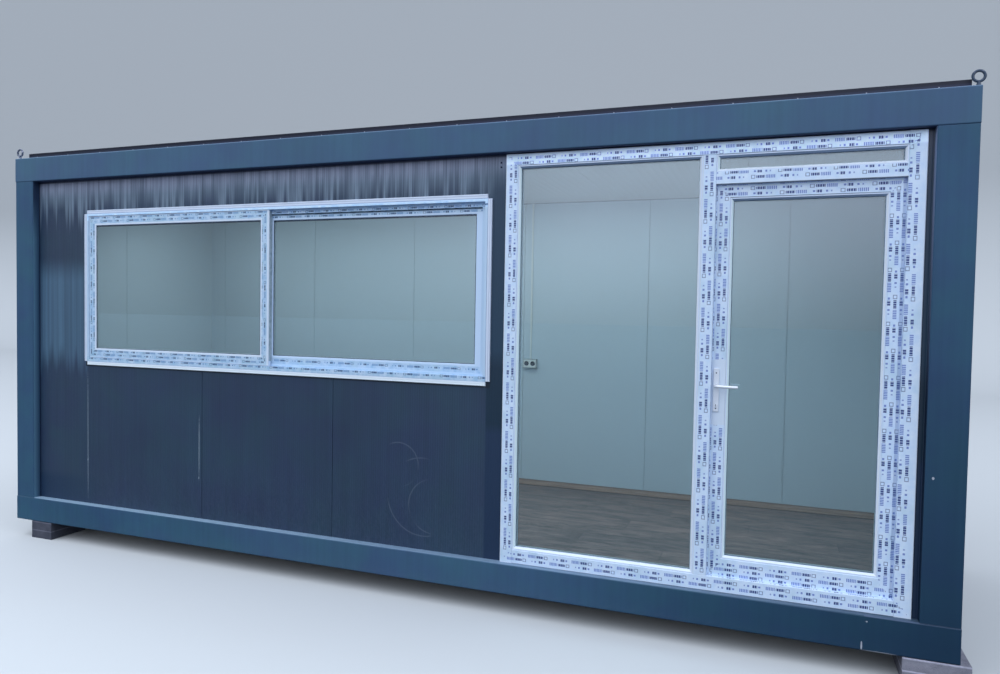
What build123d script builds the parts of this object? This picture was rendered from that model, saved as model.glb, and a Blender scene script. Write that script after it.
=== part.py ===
"""Portable site cabin: a steel frame with sandwich panel walls, a sliding window and a glazed door set.

Millimetres. +Z is up, +X runs to the right along the front, +Y runs from the front to the back.
The origin is the centre of the base on the ground.
"""
from build123d import *
import os

os.makedirs("parts", exist_ok=True)

# Along the front, from the left end
WINDOW_FROM_LEFT = 645
WINDOW_W = 3000
DOOR_STRIP = 107
DOOR_SET_W = 2050
DOOR_SET_FROM_RIGHT = 198

# Steel frame
WIDTH = 2000
HEIGHT = 2615
RAIL = 170
POST = 170
STEEL = 4
FLANGE = 100
BEND = 8
RETURN = 50

# Lifting eyes
EYE_OUTER = 60
EYE_BAR = 12.5
EYE_COLLAR = 24
EYE_COLLAR_H = 22
EYE_FROM_END = 10
EYE_FROM_FACE = 30

# Support slabs
SLAB = 281
SLAB_T = 60
SLAB_OVERHANG = 47
NARROW_SLAB = 190
NARROW_SLAB_FROM_END = 150

# Wall, ceiling and floor
PANEL = 50
MODULE = 1000
JOINT = 3
TONGUE = 12
TONGUE_T = 14
TONGUE_PLAY = 1
BACK_FIRST_JOINT = 745
JOIST_W = 50
JOIST_H = 135
JOIST_SPACING = 600
DECK = 18
LAMINATE = 8
SKIRTING_H = 48
SKIRTING_T = 12
EDGE_PLAY = 5

# Roof
ROOF_INSET = 60
ROOF_INSET_RIGHT = 30
ROOF_EDGE_H = 42
ROOF_EDGE_W = 40
ROOF_EDGE_T = 2
RIB_PITCH = 207
RIB_H = 35
RIB_TOP = 40
RIB_FOOT = 75
ROOF_T = 1

# Window
WINDOW_H = 1027
WINDOW_SILL = 1177
WINDOW_FACE = 15
WINDOW_FOOT = 28
WINDOW_LIP = 5
TRACK_RIB = 42
TRACK_RIB_T = 4
COVER_W = 25
COVER_T = 12
COVER_PLAY = 0.5
SASH_T = 25
SASH_FACE = 65
SASH_LAP = 54
SASH_PLAY = 0.5
TRACK_GAP = 6
SASH_GLASS_T = 16
GLASS_IN_REBATE = 10

# Door set
DOOR_SET_GAP = 5
DOOR_SET_FACE = 35
DOOR_SET_DEPTH = 70
JAMB_LEFT = 71
JAMB_RIGHT = 76
HEAD = 63
SILL = 77
MULLION = 67
SIDE_LIGHT = 982
TRANSOM = 62
TOPLIGHT = 86
BEAD = 15
BEAD_SETBACK = 3
BEAD_SLOPE = 9
EDGE_BEVEL = 2.5
GLASS_T = 24
GLASS_FROM_FACE = 25
GLASS_PLAY = 0.5
REBATE = 14
REBATE_FROM_FACE = 20
LEAF_PLAY = 8
LEAF_SEAL = 5
LEAF_T = 58
OVERLAP = 14
OVERLAP_T = 8
LEAF_STILE = 75
LEAF_TOP = 71
LEAF_BOTTOM = 95

# Hinges, about one upright axis on the room side
HINGE_FROM_OVERLAP = 13
HINGE_AXIS_OUT = 3
HINGE_R = 8
HINGE_PIN_R = 4
HINGE_PIN_PLAY = 0.3
KNUCKLE_H = 45
KNUCKLE_GAP = 1
HINGE_PLATE_W = 44
HINGE_PLATE_T = 10
HINGE_HEIGHTS = (430, 1250, 2070)

# Lever handle
HANDLE_HEIGHT = 1217
HANDLE_BACKSET = 30
LEVER_R = 8
LEVER_LENGTH = 108
LEVER_DROOP = 1
LEVER_OUT = 48
LEVER_BEND = 14
NECK_PLAY = 1
PLATE_W = 28
PLATE_T = 8
PLATE_TOP = 1305
PLATE_BOTTOM = 1085
CYLINDER_R = 8.5
CYLINDER_DROP = 100
CYLINDER_OUT = 3
PLATE_CORNER = 6
PLATE_EDGE = 2
KEEP_W = 16
KEEP_H = 120
KEEP_T = 3
BOLT_W = 10
BOLT_H = 22
BOLT_OUT = 1.5
LEVER_TIP = 4

# Double socket and its trunking on the back wall
SOCKET_FROM_LEFT = 3264
SOCKET_W = 113
SOCKET_H = 73
SOCKET_T = 32
SOCKET_HEIGHT = 1122
TRUNKING_W = 12
TRUNKING_T = 10

# Levels and faces that the pieces share
length = WINDOW_FROM_LEFT + WINDOW_W + DOOR_STRIP + DOOR_SET_W + DOOR_SET_FROM_RIGHT
left = -length / 2
right = length / 2
front = -WIDTH / 2
back = WIDTH / 2
base = 2 * SLAB_T
rail_top = base + RAIL
top = base + HEIGHT
rail_under = top - RAIL
skin = front + RETURN
inner = skin + PANEL
room_left = left + RETURN + PANEL
room_right = -room_left
deck_under = base + STEEL + JOIST_H
floor = deck_under + DECK + LAMINATE


def put_box(x0, x1, y0, y1, z0, z1, mode=Mode.ADD):
    """Add or cut a straight-sided block between two limits on each axis."""
    with Locations(((x0 + x1) / 2, (y0 + y1) / 2, (z0 + z1) / 2)):
        Box(x1 - x0, y1 - y0, z1 - z0, mode=mode)


def put_ring(outer, hole, y0, y1):
    """Add an upright rectangular ring; outer and hole are (x0, x1, z0, z1)."""
    with BuildSketch(Plane.XZ.offset(-y0)) as ring:
        for (x0, x1, z0, z1), mode in ((outer, Mode.ADD), (hole, Mode.SUBTRACT)):
            with Locations(((x0 + x1) / 2, (z0 + z1) / 2)):
                Rectangle(x1 - x0, z1 - z0, mode=mode)
    extrude(ring.sketch, amount=y0 - y1)


def put_frame(outer, hole, y0, y1):
    """Add an upright ring whose front edges are bevelled inside and out."""
    put_ring(outer, hole, y0, y1)
    face = faces(Select.LAST).sort_by(Axis.Y)[0]
    chamfer(face.edges(), length=EDGE_BEVEL)


def bevel_front(axis):
    """Bevel the front edges of the open piece that run along one axis."""
    chamfer(edges().filter_by(axis).group_by(Axis.Y)[0], length=EDGE_BEVEL)


def put_bead(light, y0, y1):
    """Add a glazing bead round a light, sloped towards the glass on its outer face."""
    put_ring(shrunk(light, GLASS_PLAY), shrunk(light, BEAD), y0, y1)
    face = faces(Select.LAST).sort_by(Axis.Y)[0]
    chamfer(face.inner_wires()[0].edges(), length=BEAD_SLOPE)


def shrunk(limits, by):
    """The rectangle (x0, x1, z0, z1) made smaller by the same amount on every side."""
    x0, x1, z0, z1 = limits
    return (x0 + by, x1 - by, z0 + by, z1 - by)


def save(builder, name):
    """Label one finished piece and write its file."""
    builder.part.label = name
    export_step(builder.part, "parts/" + name + ".step")


def put_channel(plane, length):
    """Add a folded channel whose web lies on the plane's origin and which opens to its +x."""
    with BuildSketch(plane) as channel:
        with Locations((FLANGE, RAIL / 2)):
            RectangleRounded(2 * FLANGE, RAIL, BEND)
            RectangleRounded(2 * FLANGE - 2 * STEEL, RAIL - 2 * STEEL, BEND - STEEL, mode=Mode.SUBTRACT)
        with Locations((1.5 * FLANGE, RAIL / 2)):
            Rectangle(FLANGE, RAIL, mode=Mode.SUBTRACT)
    extrude(channel.sketch, amount=length)


def put_end_plate(plane):
    """Close one end of a channel with a plate of its outline."""
    with BuildSketch(plane) as outline:
        with Locations((FLANGE, RAIL / 2)):
            RectangleRounded(2 * FLANGE, RAIL, BEND)
        with Locations((1.5 * FLANGE, RAIL / 2)):
            Rectangle(FLANGE, RAIL, mode=Mode.SUBTRACT)
    extrude(outline.sketch, amount=STEEL)


def put_long_rails(z):
    """Add the front and back rails, full length, with closed ends."""
    put_channel(Plane(origin=(left, front, z), x_dir=(0, 1, 0), z_dir=(1, 0, 0)), length)
    for x in (left, right - STEEL):
        put_end_plate(Plane(origin=(x, front, z), x_dir=(0, 1, 0), z_dir=(1, 0, 0)))
    mirror(about=Plane.XZ)


def put_end_rails(z):
    """Add the two short rails between the tips of the long rails' flanges."""
    put_channel(Plane(origin=(left, back - FLANGE, z), x_dir=(1, 0, 0), z_dir=(0, -1, 0)), WIDTH - 2 * FLANGE)
    mirror(about=Plane.YZ)


with BuildPart() as bottom_long_rails:
    put_long_rails(base)
save(bottom_long_rails, "bottom_long_rails")

with BuildPart() as bottom_end_rails:
    put_end_rails(base)
save(bottom_end_rails, "bottom_end_rails")

with BuildPart() as top_long_rails:
    put_long_rails(rail_under)
save(top_long_rails, "top_long_rails")

with BuildPart() as top_end_rails:
    put_end_rails(rail_under)
save(top_end_rails, "top_end_rails")

# Corner posts: folded sheet with a return along each inner edge
with BuildPart() as corner_posts:
    with BuildSketch(Plane.XY.offset(rail_top)):
        with Locations((left + POST / 2, front + POST / 2)):
            RectangleRounded(POST, POST, BEND)
            RectangleRounded(POST - 2 * STEEL, POST - 2 * STEEL, BEND - STEEL, mode=Mode.SUBTRACT)
        with Locations((left + RETURN + POST / 2, front + RETURN + POST / 2)):
            Rectangle(POST, POST, mode=Mode.SUBTRACT)
    extrude(amount=rail_under - rail_top)
    mirror(about=Plane.YZ)
    mirror(about=Plane.XZ)
save(corner_posts, "corner_posts")

# Lifting eyes: a forged ring on a collar at each top corner
eye_ring_r = (EYE_OUTER - EYE_BAR) / 2
eye_z = top + EYE_COLLAR_H + eye_ring_r
with BuildPart() as lifting_eyes:
    with Locations((left + EYE_FROM_END, front + EYE_FROM_FACE, eye_z)):
        Torus(eye_ring_r, EYE_BAR / 2, rotation=(90, 0, 0))
    with Locations((left + EYE_FROM_END, front + EYE_FROM_FACE, top)):
        Cone(
            EYE_COLLAR / 2,
            EYE_BAR / 2,
            EYE_COLLAR_H,
            align=(Align.CENTER, Align.CENTER, Align.MIN),
        )
    mirror(about=Plane.YZ)
    mirror(about=Plane.XZ)
save(lifting_eyes, "lifting_eyes")


def put_slabs(z):
    """Add one layer of support slabs, the front left one narrower and further in."""
    put_box(right + SLAB_OVERHANG - SLAB, right + SLAB_OVERHANG, front, front + SLAB, z, z + SLAB_T)
    for x in (left - SLAB_OVERHANG, right + SLAB_OVERHANG - SLAB):
        put_box(x, x + SLAB, back - SLAB, back, z, z + SLAB_T)
    x = left + NARROW_SLAB_FROM_END
    put_box(x, x + NARROW_SLAB, front, front + SLAB, z, z + SLAB_T)


with BuildPart() as support_slabs_lower:
    put_slabs(0)
save(support_slabs_lower, "support_slabs_lower")

with BuildPart() as support_slabs_upper:
    put_slabs(SLAB_T)
save(support_slabs_upper, "support_slabs_upper")

# Floor: joists between the channels, deck boards, laminate and skirting
joist_count = int((length - 2 * FLANGE - JOIST_W) / JOIST_SPACING) + 1
with BuildPart() as floor_joists:
    with Locations((0, 0, base + STEEL + JOIST_H / 2)):
        with GridLocations(JOIST_SPACING, 1, joist_count, 1):
            Box(JOIST_W, WIDTH - 2 * BEND, JOIST_H)
save(floor_joists, "floor_joists")

with BuildPart() as floor_deck:
    put_box(room_left, room_right, inner, -inner, deck_under, deck_under + DECK)
save(floor_deck, "floor_deck")

with BuildPart() as laminate_floor:
    put_box(room_left, room_right, inner, -inner, floor - LAMINATE, floor)
save(laminate_floor, "laminate_floor")

door_set_left = left + WINDOW_FROM_LEFT + WINDOW_W + DOOR_STRIP
door_set_right = door_set_left + DOOR_SET_W
skirting_top = floor + SKIRTING_H
skirting_end = inner + SKIRTING_T + JOINT
with BuildPart() as skirting:
    put_box(room_left, room_right, -inner - SKIRTING_T, -inner, floor, skirting_top)
    put_box(room_left, door_set_left, inner, inner + SKIRTING_T, floor, skirting_top)
    for x in (room_left, room_right - SKIRTING_T):
        put_box(x, x + SKIRTING_T, skirting_end, -skirting_end, floor, skirting_top)
save(skirting, "skirting")


def put_panels(plane, edges, height):
    """Add a run of upright panels with tongue and groove joints, between the given edges."""
    groove = TONGUE - JOINT + TONGUE_PLAY
    with BuildSketch(plane) as run:
        for start, end in zip(edges, edges[1:]):
            first = start == edges[0]
            last = end == edges[-1]
            x0 = start if first else start + JOINT / 2
            x1 = end if last else end - JOINT / 2
            with Locations(((x0 + x1) / 2, PANEL / 2)):
                Rectangle(x1 - x0, PANEL)
            if not first:
                with Locations((x0 + groove / 2, PANEL / 2)):
                    Rectangle(groove, TONGUE_T + 2 * TONGUE_PLAY, mode=Mode.SUBTRACT)
        for edge in edges[1:-1]:
            with Locations((edge - JOINT / 2 + TONGUE / 2, PANEL / 2)):
                Rectangle(TONGUE, TONGUE_T)
    extrude(run.sketch, amount=height)


wall_height = rail_under - rail_top
window_left = WINDOW_FROM_LEFT
window_right = WINDOW_FROM_LEFT + WINDOW_W
sill_z = base + WINDOW_SILL
window_top = sill_z + WINDOW_H
window_joints = [window_left + MODULE * k for k in range(int(WINDOW_W / MODULE) + 1)]
if window_joints[-1] < window_right:
    window_joints.append(window_right)

front_low = Plane(origin=(left, skin, rail_top), x_dir=(1, 0, 0), z_dir=(0, 0, 1))
front_high = Plane(origin=(left, skin, window_top), x_dir=(1, 0, 0), z_dir=(0, 0, 1))

with BuildPart() as front_wall_left:
    put_panels(front_low, [RETURN, window_left], wall_height)
save(front_wall_left, "front_wall_left")

with BuildPart() as front_wall_below_window:
    put_panels(front_low, window_joints, sill_z - rail_top)
save(front_wall_below_window, "front_wall_below_window")

with BuildPart() as front_wall_above_window:
    put_panels(front_high, window_joints, rail_under - window_top)
save(front_wall_above_window, "front_wall_above_window")

with BuildPart() as front_wall_strips:
    put_panels(front_low, [window_right, window_right + DOOR_STRIP], wall_height)
    put_panels(front_low, [length - DOOR_SET_FROM_RIGHT, length - RETURN], wall_height)
save(front_wall_strips, "front_wall_strips")

back_joints = [RETURN]
while back_joints[-1] + MODULE < length - RETURN:
    back_joints.append(BACK_FIRST_JOINT + MODULE * (len(back_joints) - 1))
back_joints.append(length - RETURN)
back_plane = Plane(origin=(right, -skin, rail_top), x_dir=(-1, 0, 0), z_dir=(0, 0, 1))
with BuildPart() as back_wall:
    put_panels(back_plane, back_joints, wall_height)
save(back_wall, "back_wall")

end_joints = [FLANGE, FLANGE + MODULE, WIDTH - FLANGE]
end_plane = Plane(origin=(left + RETURN, back, rail_top), x_dir=(0, -1, 0), z_dir=(0, 0, 1))
with BuildPart() as end_walls:
    put_panels(end_plane, end_joints, wall_height)
    mirror(about=Plane.YZ)
save(end_walls, "end_walls")

# Ceiling panels, laid on the lower flanges of the top rails
ceiling_edge = STEEL + EDGE_PLAY
ceiling_joints = [ceiling_edge]
while ceiling_joints[-1] + MODULE < length - ceiling_edge:
    ceiling_joints.append(MODULE * len(ceiling_joints))
ceiling_joints.append(length - ceiling_edge)
with BuildPart() as ceiling_panels:
    put_panels(
        Plane(origin=(left, back - ceiling_edge, rail_under + STEEL), x_dir=(1, 0, 0), z_dir=(0, -1, 0)),
        ceiling_joints,
        WIDTH - 2 * ceiling_edge,
    )
save(ceiling_panels, "ceiling_panels")

# Roof: trapezoidal sheet across the cabin, inside a folded edge trim
roof_left = left + ROOF_INSET
roof_right = right - ROOF_INSET_RIGHT
sheet_play = ROOF_EDGE_T + EDGE_PLAY
rib_count = int((roof_right - roof_left - 2 * sheet_play - RIB_FOOT) / RIB_PITCH)
first_rib = (roof_left + roof_right - (rib_count - 1) * RIB_PITCH) / 2
with BuildPart() as roof_sheet:
    with BuildSketch(Plane.XZ.offset(front + ROOF_INSET + sheet_play)):
        with BuildLine():
            lower = [(roof_left + sheet_play, top)]
            for k in range(rib_count):
                rib_x = first_rib + k * RIB_PITCH
                lower.append((rib_x - RIB_FOOT / 2, top))
                lower.append((rib_x - RIB_TOP / 2, top + RIB_H))
                lower.append((rib_x + RIB_TOP / 2, top + RIB_H))
                lower.append((rib_x + RIB_FOOT / 2, top))
            lower.append((roof_right - sheet_play, top))
            upper = [(x, z + ROOF_T) for x, z in reversed(lower)]
            Polyline(*lower, *upper, close=True)
        make_face()
    extrude(amount=WIDTH - 2 * (ROOF_INSET + sheet_play))
save(roof_sheet, "roof_sheet")


def put_edge_trim(plane, run):
    """Add a folded trim: an upright face on the plane's origin and a lip over the roof sheet."""
    with BuildSketch(plane) as trim:
        with Locations((ROOF_EDGE_T / 2, ROOF_EDGE_H / 2)):
            Rectangle(ROOF_EDGE_T, ROOF_EDGE_H)
        with Locations((ROOF_EDGE_W / 2, ROOF_EDGE_H - ROOF_EDGE_T / 2)):
            Rectangle(ROOF_EDGE_W, ROOF_EDGE_T)
    extrude(trim.sketch, amount=run)


trim_front = front + ROOF_INSET
with BuildPart() as roof_edge_trim:
    put_edge_trim(
        Plane(origin=(roof_left, trim_front, top), x_dir=(0, 1, 0), z_dir=(1, 0, 0)),
        roof_right - roof_left,
    )
    mirror(about=Plane.XZ)
save(roof_edge_trim, "roof_edge_trim")

trim_join = ROOF_EDGE_W + JOINT
trim_run = WIDTH - 2 * (ROOF_INSET + trim_join)
with BuildPart() as roof_end_trim:
    put_edge_trim(Plane(origin=(roof_left, trim_run / 2, top), x_dir=(1, 0, 0), z_dir=(0, -1, 0)), trim_run)
    put_edge_trim(Plane(origin=(roof_right, -trim_run / 2, top), x_dir=(-1, 0, 0), z_dir=(0, 1, 0)), trim_run)
save(roof_end_trim, "roof_end_trim")

# Window: cover strips on the wall, a frame in the opening and two sashes in its tracks
window_hole = (left + window_left, left + window_right, sill_z, window_top)
window_face = skin - COVER_T
with BuildPart() as window_cover_strips:
    for z in (window_hole[2] - COVER_W, window_hole[3]):
        put_box(window_hole[0], window_hole[1], window_face, skin, z, z + COVER_W)
    upright = (window_hole[2] + COVER_PLAY, window_hole[3] - COVER_PLAY)
    for x in (window_hole[0] - COVER_W, window_hole[1]):
        put_box(x, x + COVER_W, window_face, skin, *upright)
    chamfer(faces().filter_by(Axis.Y).group_by(Axis.Y)[0].edges(), length=EDGE_BEVEL)
save(window_cover_strips, "window_cover_strips")

x0, x1, z0, z1 = shrunk(window_hole, WINDOW_FACE)
window_opening = (x0, x1, sill_z + WINDOW_FOOT, z1)
track = shrunk(window_opening, SASH_PLAY)
meeting_x = (track[0] + track[1]) / 2
sash_front = window_face + WINDOW_LIP
rear_sash_front = sash_front + SASH_T + TRACK_GAP
rib_front = rear_sash_front - (TRACK_GAP + TRACK_RIB_T) / 2
with BuildPart() as window_frame:
    put_ring(window_hole, window_opening, window_face, inner)
    put_ring(window_opening, shrunk(window_hole, TRACK_RIB), rib_front, rib_front + TRACK_RIB_T)
save(window_frame, "window_frame")


def put_sash(limits, y0):
    """Add one sash ring with a groove for its glass."""
    put_frame(limits, shrunk(limits, SASH_FACE), y0, y0 + SASH_T)
    x0, x1, z0, z1 = shrunk(limits, SASH_FACE - GLASS_IN_REBATE)
    glass_front = y0 + (SASH_T - SASH_GLASS_T) / 2
    put_box(x0, x1, glass_front, glass_front + SASH_GLASS_T, z0, z1, mode=Mode.SUBTRACT)


left_sash = (track[0], meeting_x + SASH_LAP / 2, track[2], track[3])
right_sash = (meeting_x - SASH_LAP / 2, track[1], track[2], track[3])
with BuildPart() as window_sash_left:
    put_sash(left_sash, sash_front)
save(window_sash_left, "window_sash_left")

with BuildPart() as window_sash_right:
    put_sash(right_sash, rear_sash_front)
save(window_sash_right, "window_sash_right")

with BuildPart() as window_glass:
    for sash, y0 in ((left_sash, sash_front), (right_sash, rear_sash_front)):
        x0, x1, z0, z1 = shrunk(sash, SASH_FACE - GLASS_IN_REBATE)
        put_box(x0, x1, y0 + (SASH_T - SASH_GLASS_T) / 2, y0 + (SASH_T + SASH_GLASS_T) / 2, z0, z1)
save(window_glass, "window_glass")

# Door set: outer frame, mullion, transom, fixed side light, toplight and leaf
set_face = front + DOOR_SET_FACE
set_back = set_face + DOOR_SET_DEPTH
set_top = rail_under - DOOR_SET_GAP
jamb_left_edge = door_set_left + JAMB_LEFT
mullion_left = jamb_left_edge + SIDE_LIGHT
mullion_right = mullion_left + MULLION
jamb_right_edge = door_set_right - JAMB_RIGHT
sill_top = rail_top + SILL
head_under = set_top - HEAD
transom_top = head_under - TOPLIGHT
transom_under = transom_top - TRANSOM
rebate_y = set_face + REBATE_FROM_FACE
glass_y = set_face + GLASS_FROM_FACE
lip_y = glass_y + GLASS_T
leaf_face = rebate_y + LEAF_SEAL
lock_y = leaf_face + LEAF_T / 2
keep_z = base + HANDLE_HEIGHT - CYLINDER_DROP / 2

with BuildPart() as door_jamb_left:
    put_box(door_set_left, jamb_left_edge, set_face, set_back, rail_top, set_top)
    put_box(jamb_left_edge, jamb_left_edge + BEAD, lip_y, set_back, sill_top, head_under)
    bevel_front(Axis.Z)
save(door_jamb_left, "door_jamb_left")

with BuildPart() as door_jamb_right:
    put_box(jamb_right_edge, door_set_right, set_face, set_back, rail_top, set_top)
    put_box(jamb_right_edge, jamb_right_edge + REBATE, rebate_y, set_back, sill_top - REBATE,
            transom_under + REBATE, mode=Mode.SUBTRACT)
    bevel_front(Axis.Z)
save(door_jamb_right, "door_jamb_right")

with BuildPart() as door_head:
    put_box(jamb_left_edge, jamb_right_edge, set_face, set_back, head_under, set_top)
    bevel_front(Axis.X)
save(door_head, "door_head")

with BuildPart() as door_sill:
    put_box(jamb_left_edge, jamb_right_edge, set_face, set_back, rail_top, sill_top)
    put_box(mullion_right - REBATE, jamb_right_edge, rebate_y, set_back, sill_top - REBATE, sill_top,
            mode=Mode.SUBTRACT)
    bevel_front(Axis.X)
save(door_sill, "door_sill")

with BuildPart() as door_mullion:
    put_box(mullion_left, mullion_right, set_face, set_back, sill_top, head_under)
    put_box(mullion_right - REBATE, mullion_right, rebate_y, set_back, sill_top, transom_under + REBATE,
            mode=Mode.SUBTRACT)
    bevel_front(Axis.Z)
    put_box(mullion_right - REBATE - KEEP_T, mullion_right - REBATE, lock_y - KEEP_W / 2, lock_y + KEEP_W / 2,
            keep_z - KEEP_H / 2, keep_z + KEEP_H / 2, mode=Mode.SUBTRACT)
save(door_mullion, "door_mullion")

with BuildPart() as lock_keep:
    put_box(mullion_right - REBATE - KEEP_T, mullion_right - REBATE, lock_y - KEEP_W / 2, lock_y + KEEP_W / 2,
            keep_z - KEEP_H / 2, keep_z + KEEP_H / 2)
    put_box(mullion_right - REBATE - KEEP_T, mullion_right - REBATE, lock_y - BOLT_W / 2, lock_y + BOLT_W / 2,
            keep_z, keep_z + BOLT_H, mode=Mode.SUBTRACT)
save(lock_keep, "lock_keep")

with BuildPart() as door_transom:
    put_box(mullion_right, jamb_right_edge, set_face, set_back, transom_under, transom_top)
    put_box(mullion_right, jamb_right_edge, rebate_y, set_back, transom_under, transom_under + REBATE,
            mode=Mode.SUBTRACT)
    bevel_front(Axis.X)
save(door_transom, "door_transom")

side_light = (jamb_left_edge, mullion_left, sill_top, head_under)
toplight = (mullion_right, jamb_right_edge, transom_top, head_under)
with BuildPart() as side_light_beads:
    put_bead(side_light, set_face + BEAD_SETBACK, glass_y)
save(side_light_beads, "side_light_beads")

with BuildPart() as toplight_beads:
    put_bead(toplight, set_face + BEAD_SETBACK, glass_y)
save(toplight_beads, "toplight_beads")

with BuildPart() as fixed_glass:
    for light in (side_light, toplight):
        x0, x1, z0, z1 = shrunk(light, GLASS_PLAY)
        put_box(x0, x1, glass_y, lip_y, z0, z1)
save(fixed_glass, "fixed_glass")

# Door leaf
leaf = (
    mullion_right - REBATE + LEAF_PLAY,
    jamb_right_edge + REBATE - LEAF_PLAY,
    sill_top - REBATE + LEAF_PLAY,
    transom_under + REBATE - LEAF_PLAY,
)
leaf_back = leaf_face + LEAF_T
overlap = shrunk(leaf, -OVERLAP)
leaf_light = (leaf[0] + LEAF_STILE, leaf[1] - LEAF_STILE, leaf[2] + LEAF_BOTTOM, leaf[3] - LEAF_TOP)
handle_x = leaf[0] + HANDLE_BACKSET
handle_z = base + HANDLE_HEIGHT
leaf_glass_y = leaf_face + (LEAF_T - GLASS_T) / 2
with BuildPart() as door_leaf:
    put_frame(leaf, leaf_light, leaf_face, leaf_back)
    put_ring(overlap, leaf_light, leaf_back - OVERLAP_T, leaf_back)
    with BuildSketch(Plane.XZ.offset(-leaf_face)):
        with Locations((handle_x, handle_z)):
            Circle(LEVER_R + NECK_PLAY)
        with Locations((handle_x, handle_z - CYLINDER_DROP)):
            Circle(CYLINDER_R + GLASS_PLAY)
    extrude(amount=-LEAF_T, mode=Mode.SUBTRACT)
    put_box(leaf[0], leaf[0] + KEEP_T, lock_y - KEEP_W / 2, lock_y + KEEP_W / 2,
            keep_z - KEEP_H, keep_z + KEEP_H, mode=Mode.SUBTRACT)
save(door_leaf, "door_leaf")

with BuildPart() as lock_faceplate:
    put_box(leaf[0], leaf[0] + KEEP_T, lock_y - KEEP_W / 2, lock_y + KEEP_W / 2,
            keep_z - KEEP_H, keep_z + KEEP_H)
    put_box(leaf[0] - BOLT_OUT, leaf[0], lock_y - BOLT_W / 2, lock_y + BOLT_W / 2, keep_z, keep_z + BOLT_H)
save(lock_faceplate, "lock_faceplate")

with BuildPart() as leaf_beads:
    put_bead(leaf_light, leaf_face + BEAD_SETBACK, leaf_glass_y)
    put_ring(shrunk(leaf_light, GLASS_PLAY), shrunk(leaf_light, BEAD),
             leaf_glass_y + GLASS_T, leaf_back - BEAD_SETBACK)
save(leaf_beads, "leaf_beads")

with BuildPart() as door_glass:
    x0, x1, z0, z1 = shrunk(leaf_light, GLASS_PLAY)
    put_box(x0, x1, leaf_glass_y, leaf_glass_y + GLASS_T, z0, z1)
save(door_glass, "door_glass")

# Handle plates on both faces, joined by the lock cylinder
with BuildPart() as handle_plates:
    for y0, side in ((leaf_face - PLATE_T, 0), (leaf_back, -1)):
        with BuildSketch(Plane.XZ.offset(-y0)):
            with Locations((handle_x, base + (PLATE_BOTTOM + PLATE_TOP) / 2)):
                RectangleRounded(PLATE_W, PLATE_TOP - PLATE_BOTTOM, PLATE_CORNER)
        extrude(amount=-PLATE_T)
        fillet(faces(Select.LAST).sort_by(Axis.Y)[side].edges(), radius=PLATE_EDGE)
    with BuildSketch(Plane.XZ.offset(-(leaf_face - PLATE_T))):
        with Locations((handle_x, handle_z)):
            Circle(LEVER_R + NECK_PLAY)
    extrude(amount=-(LEAF_T + 2 * PLATE_T), mode=Mode.SUBTRACT)
    with BuildSketch(Plane.XZ.offset(-(leaf_face - PLATE_T - CYLINDER_OUT))):
        with Locations((handle_x, handle_z - CYLINDER_DROP)):
            Circle(CYLINDER_R)
    extrude(amount=-(LEAF_T + 2 * PLATE_T + 2 * CYLINDER_OUT))
save(handle_plates, "handle_plates")

# Lever handle: both levers and the spindle between them
lever_plane = Plane(
    origin=(handle_x, 0, handle_z),
    x_dir=Vector(1, 0, 0).rotate(Axis.Y, LEVER_DROOP),
    z_dir=Vector(0, 0, 1).rotate(Axis.Y, LEVER_DROOP),
)
outer_y = leaf_face - LEVER_OUT
inner_y = leaf_back + LEVER_OUT
with BuildPart() as door_handle:
    with BuildLine(lever_plane) as lever_path:
        FilletPolyline(
            (LEVER_LENGTH, outer_y),
            (0, outer_y),
            (0, inner_y),
            (LEVER_LENGTH, inner_y),
            radius=LEVER_BEND,
        )
    with BuildSketch(Plane(origin=lever_path.line @ 0, z_dir=lever_path.line % 0)):
        Circle(LEVER_R)
    sweep()
    fillet(faces().filter_by(GeomType.PLANE).edges(), radius=LEVER_TIP)
save(door_handle, "door_handle")

# Hinges: knuckle, pin and plate on the frame; knuckle and plate on the leaf
hinge_x = overlap[1] + HINGE_FROM_OVERLAP
hinge_y = leaf_back + HINGE_AXIS_OUT
leaf_plate_y0 = leaf_back
leaf_plate_y1 = leaf_back + HINGE_PLATE_T
with BuildPart() as hinge_frame_parts:
    for height in HINGE_HEIGHTS:
        z0 = base + height
        put_box(hinge_x, hinge_x + HINGE_PLATE_W, set_back, hinge_y, z0, z0 + KNUCKLE_H)
        with BuildSketch(Plane.XY.offset(z0)):
            with Locations((hinge_x, hinge_y)):
                Circle(HINGE_R)
        extrude(amount=KNUCKLE_H)
        with BuildSketch(Plane.XY.offset(z0 + KNUCKLE_H)):
            with Locations((hinge_x, hinge_y)):
                Circle(HINGE_PIN_R)
        extrude(amount=KNUCKLE_H)
save(hinge_frame_parts, "hinge_frame_parts")

with BuildPart() as hinge_leaf_parts:
    for height in HINGE_HEIGHTS:
        z0 = base + height + KNUCKLE_H + KNUCKLE_GAP
        put_box(hinge_x - HINGE_PLATE_W, hinge_x, leaf_plate_y0, leaf_plate_y1, z0, z0 + KNUCKLE_H)
        with BuildSketch(Plane.XY.offset(z0)):
            with Locations((hinge_x, hinge_y)):
                Circle(HINGE_R)
        extrude(amount=KNUCKLE_H)
        with BuildSketch(Plane.XY.offset(z0)):
            with Locations((hinge_x, hinge_y)):
                Circle(HINGE_PIN_R + HINGE_PIN_PLAY)
        extrude(amount=KNUCKLE_H, mode=Mode.SUBTRACT)
save(hinge_leaf_parts, "hinge_leaf_parts")

# Double socket with surface trunking up to the ceiling
socket_x = left + SOCKET_FROM_LEFT
socket_z = base + SOCKET_HEIGHT
with BuildPart() as double_socket:
    put_box(socket_x, socket_x + SOCKET_W, -inner - SOCKET_T, -inner, socket_z, socket_z + SOCKET_H)
    fillet(double_socket.faces().sort_by(Axis.Y)[0].edges(), radius=4)
save(double_socket, "double_socket")

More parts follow.
